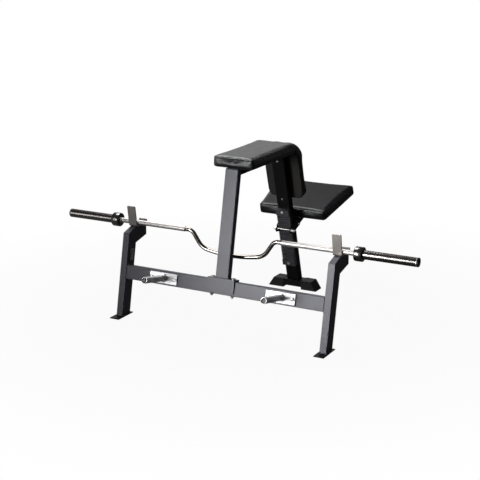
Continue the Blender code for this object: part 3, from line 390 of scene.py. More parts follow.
rubber = moulded("moulded_rubber", "#161617", 0.62, 900.0)
nylon = moulded("moulded_nylon", "#232325", 0.45, 700.0)
bronze = plated("sintered_bronze", "#a9814b", "#8d6a3d", 0.35, 0.5, 200.0)

# %% Paint the solids that stay visible
FINISHES = (
    (slate, ("cross_beam", "_upright", "front_post", "post_saddle")),
    (phosphate, ("rack_strip",)),
    # The foot plates belong to the slate front frame; their black coat is painted shade.
    (black, ("_foot_plate", "top_rail", "rear_post", "rear_cross_tube", "_carriage_plate",
             "seat_mount_plate")),
    (dull_zinc, ("_peg_plate",)),
    (chrome, ("latch_rod",)),
    (plywood, ("_board",)),
    (rubber, ("_rear_foot",)),
    (bronze, ("_bushing",)),
    (nylon, ("rear_guide",)),
)
painted = 0
for finish, endings in FINISHES:
    for name in [name for name in nodes if name.endswith(endings)]:
        for holder in nodes[name].material_slots:
            holder.material = finish
        painted += 1
print("painted", painted, "of", len(nodes))

# %% [markdown]
# ## Vinyl
# Gym pads are covered in a knitted fabric with a soft vinyl face. The face is pressed with a leather
# grain whose cells are about 1.5 mm wide. It is near black, and the grain breaks its half-gloss shine up
# into a grey bloom where the light grazes it. The piping is a smoother strip of the same vinyl. Sewing
# thread is bonded polyester, a little lighter, with the twist of its strands.

# %% Vinyl, thread and piping
vinyl, tree, shader = new_material("grained_vinyl")
place = put(tree, "TexCoord").outputs["Object"]
edges = {"feature": "DISTANCE_TO_EDGE"}
cells = put(tree, "TexVoronoi", edges, Vector=place, Scale=620.0, Randomness=0.9)
crease = put(tree, "MapRange", Value=cells.outputs["Distance"], From_Max=0.12)
folds = put(tree, "TexNoise", Vector=place, Scale=26.0, Detail=4.0, Roughness=0.55)
fine = put(tree, "Bump", Strength=0.30, Distance=0.0003, Height=crease.outputs[0])
broad = put(tree, "Bump", Strength=0.18, Distance=0.004, Height=folds.outputs["Fac"], Normal=fine.outputs[0])
shade = put(tree, "Mix", COLOURS, _0=folds.outputs["Fac"], _6=linear("#0c0c10"), _7=linear("#141418"))
gloss = put(tree, "MapRange", Value=folds.outputs["Fac"], To_Min=0.30, To_Max=0.42)
wire(shader, Normal=broad.outputs[0], Base_Color=shade.outputs[2], Roughness=gloss.outputs[0],
     Specular_IOR_Level=0.36)

thread, tree, shader = new_material("bonded_thread")
place = put(tree, "TexCoord").outputs["Object"]
twist = put(tree, "TexNoise", Vector=place, Scale=1500.0, Detail=1.0)
bump = put(tree, "Bump", Strength=0.3, Distance=0.0002, Height=twist.outputs["Fac"])
wire(shader, Base_Color=linear("#5c5c62"), Roughness=0.55, Normal=bump.outputs[0])

piping, tree, shader = new_material("smooth_piping_vinyl")
place = put(tree, "TexCoord").outputs["Object"]
scuff = put(tree, "TexNoise", Vector=place, Scale=90.0, Detail=2.0)
gloss = put(tree, "MapRange", Value=scuff.outputs["Fac"], To_Min=0.20, To_Max=0.34)
wire(shader, Base_Color=linear("#1b1b1f"), Specular_IOR_Level=0.7, Roughness=gloss.outputs[0])
print("cover", vinyl.name, "piping", piping.name, "thread", thread.name)

# %% [markdown]
# ## Cushions
# Each cushion is dense foam on a plywood board. Its cover has a top panel and a side band, sewn together
# over a thin piping, and the band is pulled under the board. To get the tight, slightly swollen look, a
# plain padded block is blown up from inside by a cloth simulation, while its underside stays held to the
# board. The simulation needs an even mesh, so the block is remeshed first, and the seam is pressed in
# afterwards.

# %% The block that each cushion starts from
CROWN_STEPS = 4
LOWER_ROUND = 0.010    # radius along the lower edge


def apply_all():
    """Apply the active piece's place, turn and scale to its mesh."""
    bpy.ops.object.transform_apply(location=True, rotation=True, scale=True)


def corner_edges(obj, test):
    """Select, in edit mode, the edges whose two ends pass a test."""
    bpy.ops.object.mode_set(mode="EDIT")
    bpy.ops.mesh.select_all(action="DESELECT")
    bpy.ops.mesh.select_mode(type="EDGE")
    bpy.ops.object.mode_set(mode="OBJECT")
    for edge in obj.data.edges:
        edge.select = test(*[obj.data.vertices[i].co for i in edge.vertices])
    bpy.ops.object.mode_set(mode="EDIT")


def cushion_block(name, wide, long, thick, front_corner, back_corner, crown):
    """A rounded block with its underside at z 0 and its front edge at y 0."""
    clear(action="DESELECT")
    bpy.ops.mesh.primitive_cube_add(size=1.0, location=(0, long / 2, thick / 2))
    block = bpy.context.object
    block.name = name
    bpy.ops.transform.resize(value=(wide, long, thick))
    apply_all()
    corner_edges(block, lambda a, b: abs(a.z - b.z) > thick / 2 and a.y < long / 2)
    bpy.ops.mesh.bevel(offset=front_corner, segments=10)
    corner_edges(block, lambda a, b: abs(a.z - b.z) > thick / 2 and abs(a.y - long) < 1e-4)
    bpy.ops.mesh.bevel(offset=back_corner, segments=10)
    corner_edges(block, lambda a, b: a.z > thick * 0.9 and b.z > thick * 0.9)
    bpy.ops.mesh.bevel(offset=crown, segments=CROWN_STEPS)
    corner_edges(block, lambda a, b: a.z < thick * 0.1 and b.z < thick * 0.1)
    bpy.ops.mesh.bevel(offset=LOWER_ROUND, segments=3)
    bpy.ops.object.mode_set(mode="OBJECT")
    return block


def shape_seat(block, front, back, long, hollow):
    """Widen the block towards its back and curve the back edge inwards."""
    straight = 0.35    # share of the length that stays straight
    for vertex in block.data.vertices:
        share = vertex.co.y / long
        half = (front + (back - front) * share) / 2
        across = vertex.co.x / (back / 2)
        vertex.co.x = across * half
        curve = max(0.0, share - straight) / (1 - straight)
        vertex.co.y -= hollow * curve * (1 - across * across)


# %% Blow a block up with the cloth simulation
VOXEL = 0.005
MOST_SWELL = 0.006     # how far a point may move
HELD_BELOW = 0.004     # points under this height stay on the board
PRESSURE = 4.0
CLOTH_FRAMES = 16


def alone(piece):
    """Make one piece the only selected one and the active one."""
    clear(action="DESELECT")
    piece.select_set(True)
    bpy.context.view_layer.objects.active = piece


def swell(block):
    """Remesh, run Cloth with pressure, cap each point's move and keep the result."""
    alone(block)
    block.data.remesh_voxel_size = VOXEL
    bpy.ops.object.voxel_remesh()
    start = [vertex.co.copy() for vertex in block.data.vertices]
    held = block.vertex_groups.new(name="held")
    held.add([i for i, co in enumerate(start) if co.z < HELD_BELOW], 1.0, "REPLACE")
    cloth = block.modifiers.new("cloth", "CLOTH")
    fabric = cloth.settings
    fabric.quality = 6
    fabric.mass = 0.4
    fabric.tension_stiffness = fabric.compression_stiffness = 60
    fabric.bending_stiffness = 8
    fabric.use_pressure = True
    fabric.uniform_pressure_force = PRESSURE
    fabric.vertex_group_mass = "held"
    fabric.effector_weights.gravity = 0.0
    cloth.collision_settings.use_collision = False
    cloth.point_cache.frame_start = 1
    cloth.point_cache.frame_end = CLOTH_FRAMES
    for step in range(1, CLOTH_FRAMES + 1):
        bpy.context.scene.frame_set(step)
    bpy.ops.object.modifier_apply(modifier="cloth")
    block.vertex_groups.clear()
    for vertex, old in zip(block.data.vertices, start):
        move = vertex.co - old
        if move.length > MOST_SWELL:
            vertex.co = old + move.normalized() * MOST_SWELL
    even = block.modifiers.new("even", "SMOOTH")
    even.factor = 0.5
    even.iterations = 5
    bpy.ops.object.modifier_apply(modifier="even")
    finer = block.modifiers.new("finer", "SUBSURF")
    finer.levels = finer.render_levels = 1
    bpy.ops.object.modifier_apply(modifier="finer")
    print(block.name, "top", round(max(v.co.z for v in block.data.vertices), 4))


# %% Press the seam in and set the underside
SEAM_BELOW_TOP = 0.0075
SEAM_DEPTH = 0.0014
SEAM_WIDTH = 0.0030
UNDERSIDE = 0.012         # below this height a point that faces down belongs to the underside
BOARD_POCKET = 0.0035     # the underside's height over the board
LOWEST = 0.0004           # and round it


def press_seam(block, height, board):
    """Sink a groove at the seam's height and seat the underside round the board."""
    half_wide, front, back = board
    normals = [vertex.normal.copy() for vertex in block.data.vertices]
    for vertex, normal in zip(block.data.vertices, normals):
        sideways = min(1.0, Vector((normal.x, normal.y, 0.0)).length)
        sink = SEAM_DEPTH * 2.718 ** (-((vertex.co.z - height) / SEAM_WIDTH) ** 2)
        vertex.co -= normal * sink * sideways
        if vertex.co.z < UNDERSIDE and normal.z < -0.5:
            inside = abs(vertex.co.x) < half_wide and front < vertex.co.y < back
            vertex.co.z = BOARD_POCKET if inside else max(vertex.co.z, LOWEST)


def rim(block, height, count):
    """Points and normals round the block's side at one height, evenly spaced."""
    mesh = block.data
    tree = BVHTree.FromPolygons([v.co for v in mesh.vertices], [p.vertices for p in mesh.polygons])
    low = Vector([min(v.co[i] for v in mesh.vertices) for i in range(3)])
    high = Vector([max(v.co[i] for v in mesh.vertices) for i in range(3)])
    middle = (low + high) / 2
    hits = []
    rays = 720
    for step in range(rays):
        angle = 2 * pi * step / rays
        way = Vector((cos(angle), sin(angle), 0))
        start = Vector((middle.x, middle.y, height)) + way * 2
        spot, normal, _, _ = tree.ray_cast(start, -way)
        if spot is not None:
            hits.append((spot, normal))
    total = sum((a[0] - b[0]).length for a, b in zip(hits, hits[1:] + hits[:1]))
    gap = total / count
    picked = []
    walked = 0.0
    for here, after in zip(hits, hits[1:] + hits[:1]):
        length = (after[0] - here[0]).length
        while len(picked) * gap < walked + length and len(picked) < count:
            share = (len(picked) * gap - walked) / length
            picked.append((here[0].lerp(after[0], share), here[1].lerp(after[1], share).normalized()))
        walked += length
    return picked, total


# %% [markdown]
# ## Seams
# A piping of smooth vinyl stands along the seam and catches the light. Below it runs a row of stitches,
# each a short loop of thread that dips into the cover at both ends. One is modelled and copied round.

# %% Piping and stitches
def bead_along(name, points, radius, closed=False, swellings=(1.0,)):
    """A round bead of mesh through the points; its radius repeats the given swellings."""
    curve = bpy.data.curves.new(name, "CURVE")
    curve.dimensions = "3D"
    curve.bevel_depth = radius
    curve.bevel_resolution = 2
    curve.use_fill_caps = not closed
    spline = curve.splines.new("POLY")
    spline.points.add(len(points) - 1)
    for index, (point, spot) in enumerate(zip(spline.points, points)):
        point.co = (*spot, 1.0)
        point.radius = swellings[index % len(swellings)]
    spline.use_cyclic_u = closed
    bead = bpy.data.objects.new(name, curve)
    link(bead)
    alone(bead)
    bpy.ops.object.convert(target="MESH")
    return bpy.context.object


def stitch_row(name, points, length, radius):
    """Copies of one stitch, laid along the points and joined into one piece."""
    clear(action="DESELECT")
    bpy.ops.mesh.primitive_uv_sphere_add(segments=6, ring_count=5, radius=1.0)
    master = bpy.context.object
    bpy.ops.transform.resize(value=(length / 2, radius * 1.1, radius))
    apply_all()
    stitches = []
    count = len(points)
    for index, (spot, normal) in enumerate(points):
        run = (points[(index + 1) % count][0] - points[index - 1][0]).normalized()
        side = normal.cross(run).normalized()
        turn = Matrix((run, side, run.cross(side))).transposed().to_4x4()
        copy = master.copy()
        copy.data = master.data.copy()
        copy.data.transform(Matrix.Translation(spot + normal * radius * 0.2) @ turn)
        link(copy)
        stitches.append(copy)
    alone(stitches[0])
    for stitch in stitches:
        stitch.select_set(True)
    bpy.ops.object.join()
    row = bpy.context.object
    row.name = name
    bpy.ops.object.shade_smooth()
    bpy.data.objects.remove(master)
    return row


# %% Make the three cushions
def dress(piece, material, body):
    """Give a piece its finish, unless it has one, and let it ride on its body."""
    if material:
        piece.data.materials.clear()
        piece.data.materials.append(material)
    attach(piece, body)


def finish_cushion(block, thick, board, place, body, node):
    """Seam, piping and stitches, then everything moves to its place on the bench."""
    seam = thick - SEAM_BELOW_TOP
    press_seam(block, seam, board)
    block.data.update()
    ring, total = rim(block, seam + 0.0006, 360)
    ring = [spot + normal * PIPING * 0.25 for spot, normal in ring]
    cord = bead_along(block.name + "_welt", ring, PIPING, closed=True)
    bpy.ops.object.shade_smooth()
    below, _ = rim(block, seam - STITCHES_BELOW, int(total / STITCH_EVERY))
    row = stitch_row(block.name + "_stitches", below, STITCH_LONG, THREAD)
    alone(block)
    bpy.ops.object.shade_smooth()
    for piece in (block, cord, row):
        piece.data.transform(place)
        piece.data.update()
    dress(block, vinyl, body)
    dress(cord, piping, body)
    dress(row, thread, body)
    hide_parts(node)
    print(block.name, "rim", round(total, 3), "m, stitches", len(below))


PIPING = 0.0017
STITCH_EVERY = 0.010
STITCH_LONG = 0.0070
STITCHES_BELOW = 0.0058
THREAD = 0.0008
SHRINK = 0.0018     # the block is this much smaller all round, and swells to its solid's size
CHEST = (0.250, 0.530)
THIGH = (0.236, 0.350)
SEAT = (0.528, 0.368)
SEAT_FRONT = 0.440
SEAT_HOLLOW = 0.024


def start_cushion(name, size, thick, front_corner, back_corner, crown):
    """The block of a cushion, a little smaller than its solid."""
    wide, long = [side - 2 * SHRINK for side in size]
    block = cushion_block(name, wide, long, thick, front_corner, back_corner, crown)
    block.data.transform(Matrix.Translation((0, SHRINK, 0)))
    return block


# Each is finished with its own thickness and its board: half its width, its front and its back.
# Chest cushion
block = start_cushion("chest_cushion", CHEST, 0.0590, front_corner=0.014, back_corner=0.014, crown=0.005)
swell(block)
place = Matrix.Translation((0, 0.187 - MIDDLE, 0.8955))
finish_cushion(block, 0.060, (0.117, 0.008, 0.522), place, "frame", "chest_pad")

# Thigh cushion, which stands against the back of the rear post with its wide round corners up
block = start_cushion("thigh_cushion", THIGH, 0.0530, front_corner=0.078, back_corner=0.043, crown=0.008)
swell(block)
place = rear_turn @ Matrix.Translation((0, 0.0503, 0.895)) @ Matrix.Rotation(-pi / 2, 4, "X")
finish_cushion(block, 0.054, (0.110, 0.008, 0.342), place, "frame", "thigh_pad")

# Seat cushion
block = start_cushion("seat_cushion", SEAT, 0.0590, front_corner=0.020, back_corner=0.020, crown=0.006)
shape_seat(block, SEAT_FRONT - 2 * SHRINK, SEAT[0] - 2 * SHRINK, SEAT[1], SEAT_HOLLOW)
swell(block)
place = rear_turn @ Matrix.Translation((0, 0.0855, 0.392))
finish_cushion(block, 0.060, (0.204, 0.010, 0.330), place, "seat", "seat_pad")

# %% [markdown]
# ## Turned pieces
# Pegs, rings, sleeves, washers and bolts are all made on a lathe or a header, so they are round. Each
# starts as a circle that is extruded station by station along its profile and scaled to the new radius,
# which is how one would model it by hand. Spinning a profile would do as well, but leaves a seam to merge.

# %% A lathe made of extrusions
SMOOTH_UNDER = radians(38)


def finish_smooth(piece, angle=SMOOTH_UNDER):
    """Merge doubles, point the faces outwards and smooth all but the sharp edges."""
    alone(piece)
    edit_all()
    bpy.ops.mesh.remove_doubles(threshold=0.00001)
    bpy.ops.mesh.normals_make_consistent(inside=False)
    bpy.ops.object.mode_set(mode="OBJECT")
    bpy.ops.object.shade_smooth_by_angle(angle=angle)


def lathe(name, profile, sides=48, hollow=False):
    """A round piece about the Z axis from (z, radius) stations; a hollow profile ends where it starts."""
    clear(action="DESELECT")
    z, radius = profile[0]
    fill = "NOTHING" if hollow else "NGON"
    bpy.ops.mesh.primitive_circle_add(vertices=sides, radius=radius, fill_type=fill, location=(0, 0, z))
    piece = bpy.context.object
    piece.name = name
    apply_all()
    edit_all()
    for next_z, next_radius in profile[1:]:
        extrude(0, 0, next_z - z)
        ratio = next_radius / radius
        if abs(ratio - 1) > 1e-6:
            bpy.ops.transform.resize(value=(ratio, ratio, 1), center_override=(0, 0, next_z))
        z, radius = next_z, next_radius
    bpy.ops.object.mode_set(mode="OBJECT")
    finish_smooth(piece)
    return piece


def aim(spot, way):
    """Matrix that stands a piece made along Z on a spot, turned to a direction."""
    turn = Vector(way).to_track_quat("Z", "Y").to_matrix().to_4x4()
    return Matrix.Translation(Vector(spot)) @ turn


def joined(name, pieces):
    """Several meshes as one piece."""
    alone(pieces[0])
    for piece in pieces:
        piece.select_set(True)
    bpy.ops.object.join()
    pieces[0].name = name
    return pieces[0]


def copied(master, name, place):
    """A copy with its own mesh, moved to its place."""
    piece = master.copy()
    piece.name = name
    piece.data = master.data.copy()
    piece.data.transform(place)
    link(piece)
    return piece


def settle(piece, finish, body, node):
    """Dress a hard piece and let it stand for its node."""
    dress(piece, finish, body)
    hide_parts(node)


# %% [markdown]
# ## Pegs and rings
# Each peg is a zinc-plated tube with a rounded rim. A plastic plug sits a few millimetres inside its
# end. The ring near its root is a turned collar with chamfered rims.

# %% Pegs and their rings
BEAM_MID = 0.2635
PEG_SPREAD = 0.366
PEG_START = -0.0086
ROUND = 64
PLUG = (0.19, 0.0144)    # faces past this length and within this radius are the plug's
peg_master = lathe("peg", [(0.0, 0.0180), (0.1950, 0.0180), (0.1964, 0.0175), (0.1970, 0.0165),
                           (0.1970, 0.0155), (0.1962, 0.0147), (0.1925, 0.0145), (0.1915, 0.0120),
                           (0.1915, 0.0040), (0.1913, 0.0010)], ROUND)
peg_master.data.materials.append(zinc)
peg_master.data.materials.append(nylon)
for face in peg_master.data.polygons:
    if face.center.z > PLUG[0] and Vector(face.center.xy).length < PLUG[1]:
        face.material_index = 1
ring_master = lathe("ring", [(0.0, 0.0183), (0.0, 0.0236), (0.0004, 0.0240), (0.0130, 0.0240),
                             (0.0144, 0.0233), (0.0150, 0.0222), (0.0150, 0.0183), (0.0, 0.0183)],
                    ROUND, hollow=True)
forwards = front_turn.to_3x3() @ Vector((0, -1, 0))
for side, name in ((-1, "left"), (1, "right")):
    place = aim(front_turn @ Vector((side * PEG_SPREAD, PEG_START, BEAM_MID)), forwards)
    settle(copied(peg_master, name + "_turned_peg", place), None, "frame", name + "_peg")
    settle(copied(ring_master, name + "_turned_ring", place), zinc, "frame", name + "_peg_ring")
print("peg faces", len(peg_master.data.polygons), "ring faces", len(ring_master.data.polygons))
for master in (peg_master, ring_master):
    bpy.data.objects.remove(master)

# %% [markdown]
# ## Bolts and nuts
# The head of a forged bolt is a hexagon whose top corners are turned off in a cone, on a thin round
# washer face. Its shank ends in a chamfer, with thread grooves where it shows below the nut. The rear
# post's bolts have round button heads instead, which shine as small dots in the photograph. All of them
# come off the lathe: a hexagon is a round with six sides.

# %% Heads, washers and shanks
def hexagon(name, radius, height, bore=0.0):
    """A hexagon with chamfered corners, on the Z axis from 0 to its height."""
    chamfer = height * 0.12
    stations = [(0.0, radius), (height - chamfer, radius), (height, radius * 0.86)]
    if bore:
        stations += [(height, bore * 1.12), (height - chamfer, bore), (0.0, bore)]
        stations.append(stations[0])
    return lathe(name, stations, 6, hollow=bool(bore))


def washer(name, radius, thick, bore):
    """A flat ring with its outer edge eased."""
    ease = thick * 0.3
    stations = [(0.0, bore), (0.0, radius), (thick - ease, radius), (thick, radius - ease), (thick, bore),
                (0.0, bore)]
    return lathe(name, stations, 40, hollow=True)


def shank(name, radius, length, threads):
    """A round shank below 0, with grooves along its last part."""
    stations = [(0.0, radius)]
    pitch = 0.00125
    for step in range(threads):
        z = -length + radius * 0.25 + (threads - step) * pitch
        stations += [(z, radius), (z - pitch * 0.5, radius * 0.90)]
    stations += [(-length + radius * 0.25, radius), (-length, radius * 0.75)]
    return lathe(name, stations, 24)


def dome(name, radius, height):
    """A round button head, on the Z axis from 0 to its height."""
    stations = [(0.0, radius)]
    for step in range(7):
        angle = radians(12 * step + 6)
        stations.append((height * (0.15 + 0.85 * sin(angle)), radius * cos(angle) ** 0.6))
    return lathe(name, stations, 32)


# %% Put a bolt or a nut in its solid's place
WASHER_RIM = 0.985    # the hexagon's corners stand this far out on the washer


def node_box(node, turn):
    """A node's corners measured along a leaning frame."""
    back = turn.inverted()
    points = [back @ vertex.co for vertex in nodes[node].data.vertices]
    low = Vector([min(p[i] for p in points) for i in range(3)])
    high = Vector([max(p[i] for p in points) for i in range(3)])
    return low, high


def span(node, turn, way):
    """The axis of a bolt or nut, its start and end on that axis, its middle and its radius."""
    low, high = node_box(node, turn)
    axis = [abs(c) for c in way].index(1)
    radius = max(high[i] - low[i] for i in range(3) if i != axis) / 2
    return axis, low[axis], high[axis], (low + high) / 2, radius


def place_bolt(node, turn, way, size, threads, body, finish=zinc, top=hexagon):
    """A bolt in its node's place: the head's end is at the box's side that faces away from its way."""
    shaft_radius, height = size
    axis, low, high, spot, radius = span(node, turn, way)
    spot[axis] = (low if way[axis] > 0 else high) + way[axis] * height
    flat = height * 0.16
    pieces = [washer(node + "_washer", radius, flat, shaft_radius * 0.98),
              top(node + "_head", radius * WASHER_RIM, height - flat)]
    pieces[1].data.transform(Matrix.Translation((0, 0, flat)))
    pieces.append(shank(node + "_shank", shaft_radius, high - low - height, threads))
    bolt = joined(node.replace("_screw", "_hex_screw").replace("_bolt", "_hex_bolt"), pieces)
    outwards = turn.to_3x3() @ (Vector(way) * -1)
    bolt.data.transform(aim(turn @ spot, outwards))
    settle(bolt, finish, body, node)


def place_nut(node, turn, way, bore, body):
    """A nut in its node's place, its flat face towards what it clamps."""
    axis, low, high, spot, radius = span(node, turn, way)
    spot[axis] = high if way[axis] < 0 else low
    flat = min(0.0012, (high - low) * 0.15)
    bore *= 1.04    # clear of the thread
    pieces = [washer(node + "_washer", radius, flat, bore),
              hexagon(node + "_hexagon", radius * WASHER_RIM, high - low - flat, bore)]
    pieces[1].data.transform(Matrix.Translation((0, 0, flat)))
    nut = joined(node.replace("_nut", "_hex_nut"), pieces)
    nut.data.transform(aim(turn @ spot, turn.to_3x3() @ Vector(way)))
    settle(nut, zinc, body, node)


# Each size: the shank's radius and the head's height
M12 = (0.0060, 0.0080)
M10 = (0.0050, 0.0070)
M8 = (0.0040, 0.0055)
ROD_RADIUS = 0.0055
for side in ("left", "right"):
    place_bolt(side + "_saddle_bolt", front_turn, (0, 0, -1), M12, 12, "frame")
    place_nut(side + "_saddle_nut", front_turn, (0, 0, -1), M12[0], "frame")
    for end in ("outer", "inner"):
        place_bolt(side + "_peg_" + end + "_bolt", front_turn, (0, 1, 0), M10, 0, "frame")
for end in ("lower", "upper"):
    place_bolt("rack_" + end + "_bolt", rear_turn, (0, 1, 0), M10, 0, "frame", dull_zinc, dome)
    place_bolt("thigh_pad_" + end + "_bolt", rear_turn, (0, 1, 0), M8, 0, "frame", dull_zinc, dome)
for end in ("front", "rear"):
    place_bolt("chest_pad_" + end + "_screw", Matrix(), (0, 0, 1), M8, 0, "frame")
for side in ("left", "right"):
    place_bolt(side + "_seat_screw", rear_turn, (0, 0, 1), M8, 0, "seat")
    place_nut(side + "_rod_nut", rear_turn, (-1 if side == "left" else 1, 0, 0), ROD_RADIUS, "seat")
place_bolt("guide_bolt", rear_turn, (-1, 0, 0), M10, 4, "seat")
place_nut("guide_nut", rear_turn, (-1, 0, 0), M10[0], "seat")

# %% [markdown]
# ## Bar
# The bar is one round rod. Its middle hangs down in a camber with a soft upward curve, so that the hands
# start below the chest. The camber is turned thinner and polished, the straight parts are knurled. A
# disc is extruded along the straight parts and spun round a centre at each bend, as one bends real bar.
# One half is made, from the middle outwards, and mirrored.

# %% Bend the bar
CAMBER_RADIUS = 0.0120
CAMBER_DROP = 0.1153
CAMBER_SLOPE = radians(56)
TOP_BEND = 0.045
LOW_BEND = 0.095
BOW = 0.850
BOW_ANGLE = asin(0.155 / BOW)
GRIP_START = 0.300
GRIP_STEP = 0.004         # length of the step from the camber's radius to the grip's
GRIP_RIM = 0.97           # the grip's radius at the start of its rounded rim
COLLAR_AT = 0.726
SHAFT_END = 1.0684


def bend(angle, centre, steps):
    """Spin the bar's open end round a centre; a positive angle bends it upwards."""
    bpy.ops.mesh.spin(steps=steps, angle=angle, center=(centre[0], 0, centre[1]), axis=(0, 1, 0))


def end_of(obj):
    """Centre of the open end of a bar or strip."""
    bpy.ops.object.mode_set(mode="OBJECT")
    picked = [vertex.co for vertex in obj.data.vertices if vertex.select]
    middle = sum(picked, Vector()) / len(picked)
    bpy.ops.object.mode_set(mode="EDIT")
    return middle


clear(action="DESELECT")
bpy.ops.mesh.primitive_circle_add(vertices=40, radius=CAMBER_RADIUS, fill_type="NGON",
                                  location=(0, 0, -CAMBER_DROP), rotation=(0, pi / 2, 0))
shaft = bpy.context.object
shaft.name = "bent_bar"
apply_all()
edit_all()
bend(BOW_ANGLE, (0, BOW - CAMBER_DROP), 10)
here = end_of(shaft)
centre = (here.x - sin(BOW_ANGLE) * LOW_BEND, here.z + cos(BOW_ANGLE) * LOW_BEND)
bend(CAMBER_SLOPE - BOW_ANGLE, centre, 14)
here = end_of(shaft)
climb = -here.z - TOP_BEND * (1 - cos(CAMBER_SLOPE))
extrude(climb / tan(CAMBER_SLOPE), 0, climb)
here = end_of(shaft)
centre = (here.x + sin(CAMBER_SLOPE) * TOP_BEND, here.z - cos(CAMBER_SLOPE) * TOP_BEND)
bend(-CAMBER_SLOPE, centre, 14)
here = end_of(shaft)
print("bend ends at", [round(c, 4) for c in here])
extrude(GRIP_START - here.x, 0, -here.z)
extrude(GRIP_STEP * 0.4, 0, 0)
ratio = GRIP_RADIUS * GRIP_RIM / CAMBER_RADIUS
bpy.ops.transform.resize(value=(1, ratio, ratio), center_override=(GRIP_START + GRIP_STEP * 0.4, 0, 0))
extrude(GRIP_STEP * 0.6, 0, 0)
bpy.ops.transform.resize(value=(1, 1 / GRIP_RIM, 1 / GRIP_RIM),
                         center_override=(GRIP_START + GRIP_STEP, 0, 0))
extrude(COLLAR_AT - GRIP_START - GRIP_STEP, 0, 0)
extrude(SHAFT_END - COLLAR_AT, 0, 0)
bpy.ops.object.mode_set(mode="OBJECT")
alone(shaft)
edit_all()
bpy.ops.mesh.bisect(plane_co=(0, 0, 0), plane_no=(1, 0, 0), clear_inner=True, threshold=0.00001)
bpy.ops.object.mode_set(mode="OBJECT")
for face in shaft.data.polygons:
    face.select = all(abs(shaft.data.vertices[i].co.x) < 0.0002 for i in face.vertices)
bpy.ops.object.mode_set(mode="EDIT")
bpy.ops.mesh.select_mode(type="FACE")
bpy.ops.mesh.delete(type="ONLY_FACE")
bpy.ops.object.mode_set(mode="OBJECT")
mirror = shaft.modifiers.new("other_half", "MIRROR")
mirror.merge_threshold = 0.0002
bpy.ops.object.modifier_apply(modifier="other_half")
finish_smooth(shaft)
shaft.data.materials.append(chrome)
shaft.data.materials.append(knurled)
for face in shaft.data.polygons:
    face.material_index = 1 if abs(face.center.x) > GRIP_START + GRIP_STEP else 0
shaft.data.transform(Matrix.Translation(BAR_AT))
settle(shaft, None, "bar", "bar_shaft")
print("bar length", round(2 * SHAFT_END, 3), "faces", len(shaft.data.polygons))

# %% [markdown]
# ## Sleeves
# Each sleeve is a thick tube for the plates, with a wide collar that stops them. It turns on a bushing.
# The collar's rims are eased, a narrow groove parts collar and tube, and a bright snap ring sits before
# the black end cap.

# %% Sleeves, snap rings and caps
COLLAR_INNER = 0.734
VERY_ROUND = 96
sleeve_profile = [(0.0, 0.0182), (0.0, 0.0365), (0.0008, 0.0380), (0.0035, 0.0395), (0.0415, 0.0395),
                  (0.0442, 0.0380), (0.0450, 0.0365), (0.0450, 0.0262), (0.0452, 0.0246), (0.0480, 0.0246),
                  (0.0484, 0.0250), (0.3395, 0.0250), (0.3400, 0.0245), (0.3425, 0.0245), (0.3430, 0.0250),
                  (0.3446, 0.0246), (0.3446, 0.0182), (0.0, 0.0182)]
sleeve_master = lathe("sleeve", sleeve_profile, VERY_ROUND, hollow=True)
ring_master = lathe("snap_ring", [(0.3402, 0.0244), (0.3402, 0.0252), (0.3423, 0.0252), (0.3423, 0.0244),
                                  (0.3402, 0.0244)], VERY_ROUND, hollow=True)
cap_master = lathe("end_cap", [(0.3350, 0.0165), (0.3350, 0.0176), (0.3448, 0.0176), (0.3448, 0.0246),
                               (0.3486, 0.0250), (0.3496, 0.0243), (0.3500, 0.0225), (0.3497, 0.0140),
                               (0.3496, 0.0010)], VERY_ROUND)
for side, name in ((-1, "left"), (1, "right")):
    place = Matrix.Translation(BAR_AT) @ Matrix.Translation((side * COLLAR_INNER, 0, 0))
    place = place @ Matrix.Rotation(side * pi / 2, 4, "Y")
    body = name + "_sleeve_body"
    settle(copied(sleeve_master, name + "_turned_sleeve", place), sleeve_chrome_with_painted_shade, body, name + "_sleeve")
    dress(copied(ring_master, name + "_snap_ring", place), zinc, body)
    settle(copied(cap_master, name + "_turned_cap", place), rubber, body, name + "_end_cap")
print("sleeve faces", len(sleeve_master.data.polygons), "cap faces", len(cap_master.data.polygons))
for master in (sleeve_master, ring_master, cap_master):
    bpy.data.objects.remove(master)

# %% [markdown]
# ## Bar cups
# A cup is one length of flat bar, bent twice: the tall guard in front, the level tray and a low lip
# behind. A strip is extruded straight and spun at the bends, so both bends keep their inner radius, and
# then its long edges are eased. The guard leans forwards to guide the bar in.

# %% Bend a cup
CUP_WIDE = 0.052
CUP_THICK = 0.009
HORN_TOP = 0.4950
CUP_LOW = HORN_TOP + 0.0003
INNER_BEND = 0.004
LIP = 0.016
GUARD = 0.124
GUARD_LEAN = radians(9.0)
STRIP_CORNER = 0.007


def strip_bend(angle, centre):
    """Spin the strip's open end about X."""
    bpy.ops.mesh.spin(steps=8, angle=angle, center=centre, axis=(-1, 0, 0))


